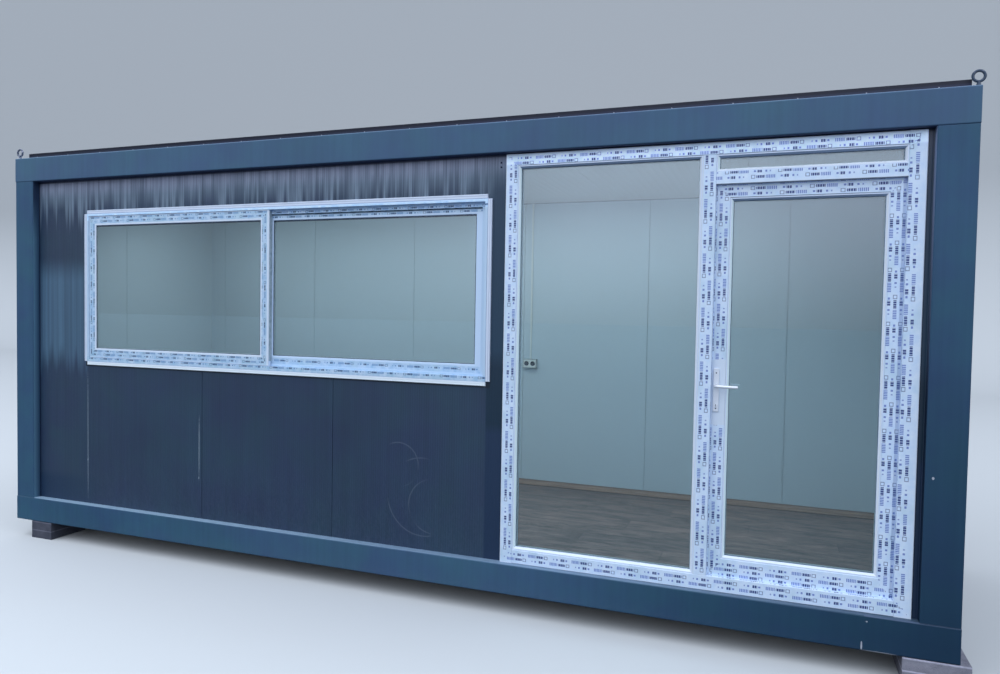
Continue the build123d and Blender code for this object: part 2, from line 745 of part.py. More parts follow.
trunking_x = socket_x + SOCKET_W / 2
with BuildPart() as socket_trunking:
    put_box(trunking_x - TRUNKING_W / 2, trunking_x + TRUNKING_W / 2, -inner - TRUNKING_T, -inner,
            socket_z + SOCKET_H, rail_under)
save(socket_trunking, "socket_trunking")
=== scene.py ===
"""Looks for a portable site cabin: a steel frame with panel walls, a sliding window and a glazed door set."""
import math

import bmesh
import bpy
from mathutils import Matrix, Vector


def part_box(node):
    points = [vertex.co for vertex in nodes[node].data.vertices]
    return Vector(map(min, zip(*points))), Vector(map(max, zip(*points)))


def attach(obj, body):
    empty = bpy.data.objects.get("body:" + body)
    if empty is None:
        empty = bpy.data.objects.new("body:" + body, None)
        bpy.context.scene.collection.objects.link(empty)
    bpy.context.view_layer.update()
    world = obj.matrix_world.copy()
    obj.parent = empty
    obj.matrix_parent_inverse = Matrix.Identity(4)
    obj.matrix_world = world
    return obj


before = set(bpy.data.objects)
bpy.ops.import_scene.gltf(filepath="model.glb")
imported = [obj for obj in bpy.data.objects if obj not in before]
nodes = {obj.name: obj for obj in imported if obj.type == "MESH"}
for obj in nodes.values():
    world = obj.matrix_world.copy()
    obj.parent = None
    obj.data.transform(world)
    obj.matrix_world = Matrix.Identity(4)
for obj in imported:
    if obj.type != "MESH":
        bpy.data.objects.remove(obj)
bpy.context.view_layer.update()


# Steel frame: rails and corner posts folded from 4 mm sheet and welded at the corners, sprayed
# with one coat of satin blue-grey paint. It is chipped in a few places and dusty along its foot.

def srgb(*display):
    """A colour of 0 to 255 display values as the linear colour that a shader takes."""
    channels = []
    for value in display:
        value = value / 255
        channels.append(value / 12.92 if value <= 0.04045 else ((value + 0.055) / 1.055) ** 2.4)
    return (*channels, 1.0)


def feed(node, inputs):
    """Set or link a node's inputs."""
    for key, value in inputs.items():
        if isinstance(value, bpy.types.NodeSocket):
            node.id_data.links.new(value, node.inputs[key])
        else:
            node.inputs[key].default_value = value


def put(tree, kind, inputs=None, **settings):
    """Add a shader node, set its options, and set or link its inputs."""
    node = tree.nodes.new("ShaderNode" + kind)
    for name, value in settings.items():
        setattr(node, name, value)
    feed(node, inputs or {})
    return node


def give(node, **inputs):
    """Set or link a node's inputs, with _ for a space in their names."""
    feed(node, {name.replace("_", " "): value for name, value in inputs.items()})


def tree_of(*values):
    """The node tree that the first socket among some values belongs to."""
    return next(value.id_data for value in values if isinstance(value, bpy.types.NodeSocket))


def calc(operation, a, b=0.0, c=0.0):
    """The output of one Math node."""
    return put(tree_of(a, b, c), "Math", {0: a, 1: b, 2: c}, operation=operation).outputs[0]


def remap(value, low, high, to_low=0.0, to_high=1.0, interpolation="LINEAR"):
    """A value moved from one range to another, clamped."""
    inputs = {"Value": value, "From Min": low, "From Max": high, "To Min": to_low, "To Max": to_high}
    return put(value.id_data, "MapRange", inputs, interpolation_type=interpolation).outputs["Result"]


def blend(factor, first, second, mode="MIX"):
    """The colour output of a Mix node."""
    inputs = {0: factor, 6: first, 7: second}
    return put(tree_of(factor, first), "Mix", inputs, data_type="RGBA", blend_type=mode).outputs[2]


def noise(place, scale, detail=2.0, roughness=0.5, stretch=None):
    """The value of a Noise Texture, stretched along the axes if asked."""
    if stretch:
        place = put(place.id_data, "Mapping", {"Vector": place, "Scale": stretch}).outputs[0]
    inputs = {"Vector": place, "Scale": scale, "Detail": detail, "Roughness": roughness}
    return put(place.id_data, "TexNoise", inputs).outputs[0]


def object_place(tree):
    """The Object coordinates."""
    return put(tree, "TexCoord").outputs["Object"]


def split(vector):
    """The three parts of a vector."""
    return put(vector.id_data, "SeparateXYZ", {0: vector}).outputs


def facing(tree):
    """The three parts of the surface normal in object space."""
    return split(put(tree, "TexCoord").outputs["Normal"])


def times(*factors):
    """The product of several values."""
    product = factors[0]
    for factor in factors[1:]:
        product = calc("MULTIPLY", product, factor)
    return product


def most(*values):
    """The largest of several values."""
    largest = values[0]
    for value in values[1:]:
        largest = calc("MAXIMUM", largest, value)
    return largest


def apart(first, second):
    """How far apart two values are."""
    return calc("ABSOLUTE", calc("SUBTRACT", first, second))


def lay(colour, *coats):
    """A colour with tones laid over it in turn, each as strongly as its mask says."""
    for mask, tone in coats:
        colour = blend(mask, colour, tone)
    return colour


def start_group(name, takes, *puts_out):
    """Start a node group from the defaults of what it takes: its tree, what it is given, its result node."""
    tree = bpy.data.node_groups.new(name, "ShaderNodeTree")
    for label, default in takes.items():
        kind = "NodeSocketColor" if isinstance(default, tuple) else "NodeSocketFloat"
        tree.interface.new_socket(label, in_out="INPUT", socket_type=kind).default_value = default
    for label in puts_out:
        kind = "NodeSocketColor" if label == "Color" else "NodeSocketFloat"
        tree.interface.new_socket(label, in_out="OUTPUT", socket_type=kind)
    return tree, tree.nodes.new("NodeGroupInput").outputs, tree.nodes.new("NodeGroupOutput")


def use_group(tree, group, **inputs):
    """Add a group node and set or link its inputs, with _ for a space; returns its outputs."""
    node = tree.nodes.new("ShaderNodeGroup")
    node.node_tree = group
    give(node, **inputs)
    return node.outputs


def new_material(name, **settings):
    """Start a material; settings go on its Principled shader, with _ for a space in their names."""
    material = bpy.data.materials.new(name)
    material.use_nodes = True
    tree = material.node_tree
    shader = tree.nodes["Principled BSDF"]
    give(shader, **settings)
    return material, tree, shader


def set_bump(shader, height, distance, strength=1.0):
    """Feed a height through a Bump node into the shader's normal."""
    bump = put(shader.id_data, "Bump", {"Height": height, "Distance": distance, "Strength": strength})
    give(shader, Normal=bump.outputs[0])


def finish_node(material, *names):
    """Give CAD nodes their material."""
    for name in names:
        nodes[name].data.materials.clear()
        nodes[name].data.materials.append(material)


def build_weather():
    """Paint or coating with slow changes of tone, faint runs and dust along its foot."""
    tree, given, result = start_group(
        "weathered coating",
        {"Paint": srgb(60, 85, 110), "Dust": srgb(125, 125, 125), "Dust Top": 0.4, "Dust Amount": 0.3,
         "Mottle": 0.1, "Roughness": 0.45},
        "Color", "Roughness", "Height")
    place = object_place(tree)
    clouds = noise(place, 1.1, 4.0, 0.6)
    runs = noise(place, 1.0, 3.0, 0.6, stretch=(34.0, 34.0, 0.9))
    change = calc("ADD", remap(clouds, 0.3, 0.7, -1.0, 1.0), remap(runs, 0.35, 0.65, -0.5, 0.5))
    tone = calc("MULTIPLY_ADD", change, given["Mottle"], 1.0)
    patches = noise(place, 3.4, 3.0, 0.6)
    hue = remap(patches, 0.32, 0.68, 0.482, 0.512)
    paint = put(tree, "HueSaturation", {"Hue": hue, "Value": tone, "Color": given["Paint"]}).outputs[0]
    specks = noise(place, 55.0, 5.0, 0.75)
    low = remap(split(place)[2], given["Dust Top"], 0.05, 0.0, 1.0, "SMOOTHSTEP")
    dust = times(low, remap(specks, 0.42, 0.66), given["Dust Amount"])
    peel = noise(place, 420.0, 2.0)
    sheen = calc("ADD", given["Roughness"], remap(specks, 0.3, 0.7, -0.05, 0.05))
    give(result, Color=blend(dust, paint, given["Dust"]),
         Roughness=calc("MULTIPLY_ADD", dust, 0.4, sheen), Height=peel)
    return tree


weather = build_weather()


def spot(place, centre, reach, ragged=0.4):
    """A ragged spot: 1 inside an ellipsoid about a point, given by its reach along each axis."""
    x, y, z = centre
    scale = tuple(1 / r for r in reach)
    start = (-x * scale[0], -y * scale[1], -z * scale[2])
    tree = place.id_data
    moved = put(tree, "Mapping", {"Vector": place, "Location": start, "Scale": scale}).outputs[0]
    away = put(tree, "VectorMath", {0: moved}, operation="LENGTH").outputs["Value"]
    rough = calc("MULTIPLY_ADD", noise(place, 90.0, 3.0), ragged * 2, -ragged)
    return remap(calc("ADD", away, rough), 1.0, 0.8)


FRAME_PAINT = srgb(49, 81, 110)
# Painted sky light on the rails
PAINTED_RAIL_LIGHT = srgb(112, 136, 168)
POST_FROM_MIDDLE = 2.6
OUTER_SIDES = 2.95
FRONT_EDGE = -0.99
TOP_RAIL_FOOT = 2.560
WELD_HEIGHT = 0.2885
# Chips and knocks in the paint: centre and reach in metres
CHIPS = (
    ((2.864, -1.0, 0.966), (0.006, 0.02, 0.007)),
    ((2.592, -1.0, 0.143), (0.004, 0.02, 0.024)),
    ((2.670, -1.0, 0.123), (0.080, 0.02, 0.004)),
    ((2.612, -1.0, 0.262), (0.005, 0.02, 0.004)),
)


def paint_frame():
    """The frame's satin paint, with its chips and dust, and painted light and shade."""
    material, tree, shader = new_material("frame paint", Specular_IOR_Level=0.22)
    place = object_place(tree)
    x, y, z = split(place)
    normal_x, _, normal_z = facing(tree)
    from_middle = calc("ABSOLUTE", x)
    coat = use_group(tree, weather, Paint=FRAME_PAINT, Dust=srgb(96, 108, 128), Dust_Top=0.22,
                     Dust_Amount=0.25, Mottle=0.11, Roughness=0.45)
    broken = remap(noise(place, 7.0, 5.0, 0.7), 0.25, 0.5, 0.72, 1.0)
    # Pale dust with painted sky light for faces that look up, paler towards the left
    dust = blend(remap(x, -1.1, 0.2), srgb(134, 160, 184), srgb(114, 138, 164))
    # The returns of the front posts, in painted light and shade: at the right, dark at the foot and paler up
    # high; at the left, a painted reflection near the front edge and low down, painted shade back towards the
    # panel and near the top
    returns = times(calc("GREATER_THAN", calc("ABSOLUTE", normal_x), 0.93),
                    calc("LESS_THAN", from_middle, OUTER_SIDES))
    right_return_shading = blend(remap(z, 1.3, 2.5), srgb(12, 18, 40), srgb(124, 138, 170))
    left_return_shading = blend(remap(y, -0.997, -0.952), srgb(92, 132, 160), srgb(44, 70, 100))
    left_return_shading = blend(remap(z, 2.15, 2.45), left_return_shading, srgb(38, 56, 84))
    # A pale, broken line along the weld at the foot of the right post
    weld = times(remap(apart(z, WELD_HEIGHT), 0.0035, 0.002),
                 calc("GREATER_THAN", x, POST_FROM_MIDDLE),
                 calc("LESS_THAN", y, FRONT_EDGE), broken)
    chipped = 0.0
    for centre, reach in CHIPS:
        chipped = most(spot(place, centre, reach), chipped)
    colour = lay(
        coat["Color"],
        # Pale dust and painted sky light on every face and edge that looks up, paler towards the left;
        # painted shade on faces that look down
        (times(remap(normal_z, 0.55, 0.95), broken), dust),
        (remap(normal_z, -0.4, -0.9, 0.0, 0.9), srgb(4, 10, 58)),
        (returns, blend(calc("GREATER_THAN", x, 0.0), left_return_shading, right_return_shading)),
        (weld, srgb(128, 146, 182)),
        # Painted sky light: a little paler along the top rail and the middle of the bottom rail
        (remap(z, TOP_RAIL_FOOT, TOP_RAIL_FOOT + 0.008, 0.0, 0.16), PAINTED_RAIL_LIGHT),
        (times(remap(z, 0.31, 0.29), remap(from_middle, 2.2, 0.6, 0.0, 0.10)), PAINTED_RAIL_LIGHT),
        # Painted shade, darker towards the foot of the right-hand end
        (times(remap(x, 0.9, 2.9), remap(z, 2.2, 0.2), 0.82), srgb(14, 40, 62)),
        (chipped, srgb(165, 170, 185)),
    )
    give(shader, Base_Color=colour, Roughness=coat["Roughness"])
    set_bump(shader, coat["Height"], 0.0003, 0.5)
    return material


finish_node(paint_frame(), "bottom_long_rails", "bottom_end_rails", "top_long_rails", "top_end_rails",
            "corner_posts")


# Lifting eyes: a forged ring on a collar at each top corner, dipped in grey paint, with pale
# glints painted on it.

def paint_eyes():
    """Grey paint over forged steel, with painted glints."""
    material, tree, shader = new_material("lifting eye paint", Roughness=0.45)
    place = object_place(tree)
    # Painted glints, more of them on the eyes at the left
    glint_threshold = remap(split(place)[0], 0.0, -1.0, 0.58, 0.46)
    glints = remap(calc("SUBTRACT", noise(place, 60.0, 4.0, 0.7), glint_threshold), 0.0, 0.12)
    give(shader, Base_Color=blend(glints, srgb(34, 54, 76), srgb(158, 160, 182)))
    set_bump(shader, noise(place, 220.0, 4.0, 0.6), 0.0008)
    return material


finish_node(paint_eyes(), "lifting_eyes")


# Support slabs: stacked concrete paving slabs that hold the cabin off the ground at its
# corners, cast with a rough face and knocked at the edges.

SLAB_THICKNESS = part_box("support_slabs_lower")[1][2]


def cast_concrete():
    """Grey concrete with sand and pores, painted highlights along the slabs' upper edges and painted shade on
    the stacks at the left.
    """
    material, tree, shader = new_material("slab concrete", Roughness=0.9, Specular_IOR_Level=0.25)
    place = object_place(tree)
    x, _, z = split(place)
    stain = noise(place, 9.0, 5.0, 0.65)
    sand = noise(place, 260.0, 3.0, 0.7)
    pores = put(tree, "TexVoronoi", {"Vector": place, "Scale": 120.0}).outputs["Distance"]
    up_slab = calc("FLOORED_MODULO", z, SLAB_THICKNESS)
    slab_edge_highlight = remap(up_slab, SLAB_THICKNESS - 0.010, SLAB_THICKNESS - 0.004)
    colour = lay(
        blend(remap(stain, 0.3, 0.7), srgb(92, 94, 112), srgb(146, 148, 166)),
        (remap(sand, 0.35, 0.7, 0.0, 0.35), srgb(178, 176, 184)),
        # Painted highlight along each slab's upper edge; painted shade on the stacks at the left
        (times(slab_edge_highlight, remap(stain, 0.3, 0.55, 0.3, 1.0)), srgb(196, 196, 220)),
        (remap(x, 0.0, -1.0, 0.0, 0.75), srgb(34, 42, 58)),
    )
    give(shader, Base_Color=colour)
    height = calc("ADD", sand, remap(pores, 0.0, 0.35, -0.6, 0.0))
    set_bump(shader, height, 0.003)
    return material


finish_node(cast_concrete(), "support_slabs_lower", "support_slabs_upper")


# Floor: sawn joists and deck boards under a floating floor of dark grey-brown laminate planks,
# with an oak-coloured skirting round the walls.

def saw_timber():
    """Pale sawn softwood with its grain along the boards."""
    material, tree, shader = new_material("sawn timber", Roughness=0.8)
    grain = noise(object_place(tree), 3.0, 6.0, 0.6, stretch=(12.0, 1.0, 12.0))
    colour = blend(remap(grain, 0.3, 0.7), srgb(150, 116, 78), srgb(196, 164, 118))
    give(shader, Base_Color=colour)
    set_bump(shader, grain, 0.0015)
    return material


finish_node(saw_timber(), "floor_joists", "floor_deck")

PLANK_LENGTH = 1.285
PLANK_WIDTH = 0.192
PLANK_SHIFT = 0.41 * PLANK_LENGTH


def lay_laminate():
    """Laminate planks along the cabin: each has its own tone, a printed grain and a fine joint."""
    material, tree, shader = new_material("laminate", Specular_IOR_Level=0.4)
    place = object_place(tree)
    x, y, _ = split(place)
    row = calc("FLOOR", calc("DIVIDE", y, PLANK_WIDTH))
    along = calc("DIVIDE", calc("MULTIPLY_ADD", row, PLANK_SHIFT, x), PLANK_LENGTH)
    plank = put(tree, "CombineXYZ", {0: calc("FLOOR", along), 1: row}).outputs[0]
    tone = put(tree, "TexWhiteNoise", {"Vector": plank}, noise_dimensions="2D").outputs["Value"]
    grain_place = put(tree, "VectorMath", {0: place, 1: plank}, operation="ADD").outputs[0]
    grain = noise(grain_place, 4.5, 6.0, 0.78, stretch=(1.0, 4.0, 1.0))
    colour = blend(remap(grain, 0.34, 0.64), srgb(57, 46, 44), srgb(174, 150, 145))
    # Painted shade, dimmer towards the back wall
    room_shade = blend(remap(y, 0.75, -0.75), srgb(212, 198, 190), srgb(255, 255, 255))
    for shade in (blend(tone, srgb(205, 205, 205), srgb(250, 246, 240)), room_shade):
        colour = blend(1.0, colour, shade, "MULTIPLY")
    across = calc("PINGPONG", y, PLANK_WIDTH / 2)
    end = times(calc("PINGPONG", along, 0.5), PLANK_LENGTH)
    joint = remap(calc("MINIMUM", across, end), 0.0006, 0.002)
    give(shader, Base_Color=blend(joint, srgb(38, 34, 32), colour),
         Roughness=remap(grain, 0.3, 0.7, 0.42, 0.58))
    set_bump(shader, calc("MULTIPLY_ADD", grain, 0.2, joint), 0.0008)
    return material


finish_node(lay_laminate(), "laminate_floor")


def mould_skirting():
    """Oak-coloured foil with a fine grain."""
    material, tree, shader = new_material("skirting", Roughness=0.45)
    place = object_place(tree)
    z = split(place)[2]
    grain = noise(place, 5.0, 5.0, 0.6, stretch=(1.0, 1.0, 22.0))
    colour = blend(remap(grain, 0.3, 0.7), srgb(138, 103, 83), srgb(181, 143, 117))
    # Painted shade along its joint with the floor and along its rounded top edge
    low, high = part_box("skirting")
    painted_edge_shade = most(remap(z, low[2] + 0.010, low[2] + 0.004),
               remap(z, high[2] - 0.008, high[2] - 0.004, 0.0, 0.6))
    give(shader, Base_Color=blend(painted_edge_shade, colour, srgb(70, 48, 40)))
    set_bump(shader, grain, 0.0004)
    return material


finish_node(mould_skirting(), "skirting")


# Wall and ceiling panels: coated steel sheet on both sides of a foam core, joined by a tongue
# and a groove. The sheet has fine upright ribs, dark blue outside and white inside.

RIB_PITCH = 0.015


def build_ribs():
    """Fine ribs rolled into a sheet, square to the given direction."""
    tree, given, result = start_group(
        "rolled ribs", {"Across": 0.0, "Pitch": RIB_PITCH}, "Height", "Groove")
    half = times(given["Pitch"], 0.5)
    wave = calc("DIVIDE", calc("PINGPONG", given["Across"], half), half)
    give(result, Height=remap(wave, 0.15, 0.55, 0.0, 1.0, "SMOOTHSTEP"),
         Groove=remap(wave, 0.35, 0.0, 0.0, 1.0, "SMOOTHSTEP"))
    return tree


ribs = build_ribs()
WALL_PAINT = srgb(37, 54, 78)
# Half the distances between the middles of the long walls and of the end walls
HALF_DEPTH = 0.925
HALF_LENGTH = 2.925
RAIL_SHADOW = 2.549
LEFT_PANEL_JOINT = -2.33
STRIP_LEFT = 0.640
# Pale marks on the front wall: centre and reach in metres
SCRATCHES = (
    ((-2.362, -0.95, 0.77), (0.0034, 0.02, 0.46)),
    ((-1.379, -0.95, 0.76), (0.0040, 0.02, 0.21)),
    ((-1.380, -0.95, 0.560), (0.005, 0.02, 0.010)),
    ((-2.362, -0.95, 0.60), (0.006, 0.02, 0.011)),
)
# Scuffs in arcs: centre and radius
SCUFFS = (((0.26, -0.95, 0.60), 0.23), ((0.33, -0.95, 0.55), 0.16), ((0.10, -0.95, 0.78), 0.13))


def within(value, low, high):
    """1 where a value lies between two limits."""
    return calc("COMPARE", value, (low + high) / 2, (high - low) / 2)


def mark_front(place, front):
    """Scratches and scuffs of the front wall."""
    marks = 0.0
    for centre, reach in SCRATCHES:
        marks = most(spot(place, centre, reach, 0.3), marks)
    broken = remap(noise(place, 3.0, 1.0), 0.50, 0.56)
    for centre, radius in SCUFFS:
        away = put(place.id_data, "VectorMath", {0: place, 1: centre}, operation="DISTANCE").outputs["Value"]
        arc = remap(apart(away, radius), 0.006, 0.0, 0.0, 0.25)
        marks = most(times(arc, broken), marks)
    return times(marks, front, 0.5)


def coat_walls():
    """Dark ribbed sheet outside, weathered pale towards the top, with painted light and shade, and white
    sheet inside.
    """
    material, tree, shader = new_material("wall sheet", Specular_IOR_Level=0.45)
    place = object_place(tree)
    x, y, z = split(place)
    outer = most(calc("GREATER_THAN", calc("ABSOLUTE", y), HALF_DEPTH),
                 calc("GREATER_THAN", calc("ABSOLUTE", x), HALF_LENGTH))
    front = calc("LESS_THAN", y, -HALF_DEPTH)
    rib = use_group(tree, ribs, Across=calc("ADD", x, y))
    coat = use_group(tree, weather, Paint=WALL_PAINT, Dust=srgb(70, 84, 110), Dust_Top=0.9,
                     Dust_Amount=0.25, Mottle=0.12, Roughness=0.42)
    # Chalky streaks that run down from the top edge and stop at different heights; their tone is painted
    # paler near the top edge, as painted light
    streak = noise(place, 1.0, 4.0, 0.7, stretch=(34.0, 34.0, 0.25))
    length = noise(place, 1.0, 3.0, 0.6, stretch=(26.0, 26.0, 0.01))
    foot = remap(length, 0.34, 0.66, 2.45, 2.14)
    high = remap(calc("SUBTRACT", z, foot), 0.0, 0.20, 0.0, 1.0, "SMOOTHSTEP")
    reach = most(high, remap(z, 2.36, 2.50))
    chalk_lit_at_top = blend(remap(z, 2.44, 2.545), srgb(115, 134, 155), srgb(148, 156, 184))
    # A second, greener zone on the panel left of the window
    left_panel = times(front, remap(x, LEFT_PANEL_JOINT, LEFT_PANEL_JOINT - 0.05))
    ragged = calc("MULTIPLY_ADD", length, 0.4, calc("SUBTRACT", z, 0.2))
    zone = times(left_panel, remap(ragged, 1.20, 1.40, 0.0, 1.0, "SMOOTHSTEP"),
                 remap(z, 2.04, 1.84, 0.0, 1.0, "SMOOTHSTEP"))
    # The narrow strip between window and door set changes tone twice up its height
    narrow = times(front, remap(x, STRIP_LEFT, STRIP_LEFT + 0.015), remap(z, 2.5, 2.2, 0.2, 1.0))
    strip_tone = lay(srgb(20, 41, 69),
                     (remap(z, 1.00, 1.06), srgb(4, 34, 54)),
                     (remap(z, 1.38, 1.48), srgb(25, 52, 74)))
    cover_low, cover_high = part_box("window_cover_strips")
    # Painted shadow on the sheet just under the window's foot cover strip
    shadow_under_window = times(front, within(x, cover_low[0], cover_high[0]),
                         remap(z, cover_low[2] - 0.014, cover_low[2] - 0.008, 0.0, 0.9),
                         calc("LESS_THAN", z, cover_low[2] + 0.02))
    colour = lay(
        coat["Color"],
        (times(reach, remap(streak, 0.36, 0.62, 0.34, 0.88)), chalk_lit_at_top),
        (times(zone, remap(streak, 0.36, 0.62, 0.36, 0.80)), srgb(80, 113, 140)),
        # Painted shade at the foot of the left-hand end
        (times(front, remap(x, -2.2, -2.6), remap(z, 0.50, 0.44, 0.0, 0.75)),
         srgb(20, 44, 72)),
        # Painted shade in the grooves of the ribs
        (times(rib["Groove"], 0.30), srgb(18, 28, 48)),
        # Painted shade: the shadow of the rail, the dark recess by the right post, and the shadow of the left
        # post
        (remap(z, RAIL_SHADOW, RAIL_SHADOW + 0.007, 0.0, 0.9), srgb(6, 12, 54)),
        (times(front, remap(x, 2.79, 2.80, 0.0, 0.8)), srgb(10, 16, 34)),
        (times(front, remap(x, -2.818, -2.823, 0.0, 0.85)), srgb(4, 18, 44)),
        (narrow, strip_tone),
        (shadow_under_window, srgb(2, 12, 30)),
        (mark_front(place, front), srgb(150, 165, 180)),
    )
    # The white room side, with painted shade in the rib grooves
    room_side = blend(times(rib["Groove"], 0.05), srgb(192, 207, 217), srgb(140, 154, 166))
    give(shader, Base_Color=blend(outer, room_side, colour), Roughness=coat["Roughness"])
    relief = calc("MULTIPLY_ADD", coat["Height"], 0.1, rib["Height"])
    set_bump(shader, times(relief, outer), 0.0004)
    return material


finish_node(coat_walls(), "front_wall_left", "front_wall_below_window", "front_wall_above_window",
            "front_wall_strips", "back_wall", "end_walls")


def coat_ceiling():
    """White ribbed sheet."""
    material, tree, shader = new_material("ceiling sheet", Roughness=0.45)
    rib = use_group(tree, ribs, Across=split(object_place(tree))[0], Pitch=0.05)
    # Painted shade in the grooves of the ribs
    groove_shade = times(rib["Groove"], 0.1)
    give(shader, Base_Color=blend(groove_shade, srgb(222, 224, 222), srgb(160, 164, 164)))
    set_bump(shader, rib["Height"], 0.0008)
    return material


finish_node(coat_ceiling(), "ceiling_panels")


def lathe(bm, profile, segments, place):
    """Spin a profile of (radius, height) points about +Z into a closed solid, then place it."""
    before = set(bm.verts)
    verts = [bm.verts.new((radius, 0.0, height)) for radius, height in profile]
    edges = [bm.edges.new(pair) for pair in zip(verts, verts[1:])]
    bmesh.ops.spin(bm, geom=verts + edges, cent=(0, 0, 0), axis=(0, 0, 1), angle=2 * math.pi,
                   steps=segments, use_merge=True)
    whole = [vert for vert in bm.verts if vert not in before]
    bmesh.ops.remove_doubles(bm, verts=whole, dist=1e-6)
    whole = [vert for vert in whole if vert.is_valid]
    bmesh.ops.recalc_face_normals(bm, faces=list({face for vert in whole for face in vert.link_faces}))
    bmesh.ops.transform(bm, matrix=place, verts=whole)


SHARP_FROM = math.radians(35.0)


def make_piece(name, bm, material, body):
    """Turn a bmesh into a piece that rides on a body, with its material."""
    mesh = bpy.data.meshes.new(name)
    bm.to_mesh(mesh)
    bm.free()
    piece = bpy.data.objects.new(name, mesh)
    bpy.context.scene.collection.objects.link(piece)
    mesh.materials.append(material)
    mesh.shade_smooth()
    mesh.set_sharp_from_angle(angle=SHARP_FROM)
    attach(piece, body)


def add_ring(bm, limits, width, front, back):
    """Add an upright rectangular ring; limits are its outer left, right, foot and top."""
    x0, x1, z0, z1 = limits
    loops = []
    for y, inset in ((front, 0.0), (front, width), (back, width), (back, 0.0)):
        corners = ((x0 + inset, z0 + inset), (x1 - inset, z0 + inset), (x1 - inset, z1 - inset),
                   (x0 + inset, z1 - inset))
        loops.append([bm.verts.new((x, y, z)) for x, z in corners])
    for near, far in zip(loops, loops[1:] + loops[:1]):
        for k in range(4):
            bm.faces.new((near[k], near[k - 1], far[k - 1], far[k]))
    bmesh.ops.recalc_face_normals(bm, faces=bm.faces)


def add_block(bm, low, high):
    """Add a straight-sided block between two corners."""
    size = Matrix.Diagonal([b - a for a, b in zip(low, high)]).to_4x4()
    middle = Matrix.Translation([(a + b) / 2 for a, b in zip(low, high)])
    bmesh.ops.create_cube(bm, size=1.0, matrix=middle @ size)


# A fitting made along +Z is turned to stick out of the front
FACE_FRONT = Matrix.Rotation(math.radians(90), 4, "X")
SCREW = ((0.0, 0.0035), (0.0022, 0.0033), (0.0042, 0.0024), (0.0055, 0.0008), (0.0055, -0.002), (0.0, -0.002))


def screw_metal(name, dark, light):
    """Plated steel for small screws, tarnished in patches."""
    material, tree, shader = new_material(name, Metallic=0.9)
    tarnish = noise(object_place(tree), 300.0, 3.0, 0.6)
    give(shader, Base_Color=blend(tarnish, dark, light), Roughness=remap(tarnish, 0.3, 0.7, 0.3, 0.55))
    return material


def make_turned(name, profile, segments, places, material, body, turned=FACE_FRONT):
    """A piece of small turned fittings, all alike, one at each place."""
    bm = bmesh.new()
    for place in places:
        lathe(bm, profile, segments, Matrix.Translation(place) @ turned)
    make_piece(name, bm, material, body)


zinc = screw_metal("zinc plating", srgb(120, 122, 128), srgb(190, 192, 198))
dark_screw = screw_metal("blackened screw", srgb(14, 20, 40), srgb(40, 52, 78))
STRIP_SCREWS = ((0.718, -0.95, 2.520), (0.718, -0.95, 2.495))
make_turned("wall_strip_screws", SCREW, 10, STRIP_SCREWS, dark_screw, "cabin")


# Roof: trapezoidal galvanised sheet across the cabin, screwed through every rib, inside an edge
# trim of dark coated sheet fixed with rivets.

ROOF_RIBS = 28
ROOF_RIB_PITCH = 0.207
ROOF_RIB_TOP = 2.771
MIDDLE_OF_RIBS = 0.015
SCREW_ROWS = (-0.86, -0.29, 0.29, 0.86)


def galvanise():
    """Zinc-coated sheet with faint spangle and dirt in the troughs."""
    material, tree, shader = new_material("galvanised roof sheet", Metallic=0.75)
    place = object_place(tree)
    spangle = put(tree, "TexVoronoi", {"Vector": place, "Scale": 70.0}).outputs["Color"]
    grey = put(tree, "RGBToBW", {0: spangle}).outputs[0]
    sheet = blend(grey, srgb(140, 144, 150), srgb(176, 180, 186))
    low = remap(split(place)[2], ROOF_RIB_TOP + 0.004, ROOF_RIB_TOP - 0.036)
    dirt = times(low, remap(noise(place, 4.0, 6.0, 0.7), 0.4, 0.65))
    give(shader, Base_Color=blend(times(dirt, 0.7), sheet, srgb(88, 84, 80)),
         Roughness=remap(calc("ADD", grey, dirt), 0.2, 1.4, 0.36, 0.75))
    return material


finish_node(galvanise(), "roof_sheet")


TRIM_SHADE = (2.742, 2.764)


def coat_trim():
    """Dark brown-grey coated sheet."""
    material, tree, shader = new_material("roof trim coating", Specular_IOR_Level=0.35)
    coat = use_group(tree, weather, Paint=srgb(46, 54, 80), Mottle=0.15, Roughness=0.5, Dust_Amount=0.0)
    # Darker towards its upper edge
    upper = remap(split(object_place(tree))[2], *TRIM_SHADE)
    give(shader, Base_Color=blend(upper, coat["Color"], srgb(4, 8, 28)), Roughness=coat["Roughness"])
    set_bump(shader, coat["Height"], 0.0002, 0.5)
    return material


finish_node(coat_trim(), "roof_edge_trim", "roof_end_trim")

ROOF_SCREW = ((0.0, 0.0062), (0.0036, 0.0060), (0.0042, 0.0052), (0.0042, 0.0014), (0.0080, 0.0010),
              (0.0084, 0.0), (0.0, 0.0))
rib_middles = [MIDDLE_OF_RIBS + (rib - (ROOF_RIBS - 1) / 2) * ROOF_RIB_PITCH for rib in range(ROOF_RIBS)]
make_turned("roof_screws", ROOF_SCREW, 6, [(x, y, ROOF_RIB_TOP) for x in rib_middles for y in SCREW_ROWS],
            zinc, "cabin", turned=Matrix())

RIVET = ((0.0, 0.0014), (0.0018, 0.0011), (0.0030, 0.0), (0.0, -0.001))
RIVETS = 20
RIVET_PITCH = 0.30
FIRST_RIVET = -2.86
TRIM_FACE = -0.940
RIVET_HEIGHT = 2.751
make_turned("roof_trim_rivets", RIVET, 8,
            [(FIRST_RIVET + rivet * RIVET_PITCH, TRIM_FACE, RIVET_HEIGHT) for rivet in range(RIVETS)],
            zinc, "cabin")


# Window: white PVC, a frame in the wall opening with plain cover strips over the joint, and two
# sliding sashes still in their printed protective film, the left one in front.

WHITE_PVC = srgb(206, 218, 240)
COVER_LINES = (0.010, 0.0245)


def inside(value, low, high):
    """How far a value lies inside two limits."""
    return calc("MINIMUM", calc("SUBTRACT", value, low), calc("SUBTRACT", high, value))


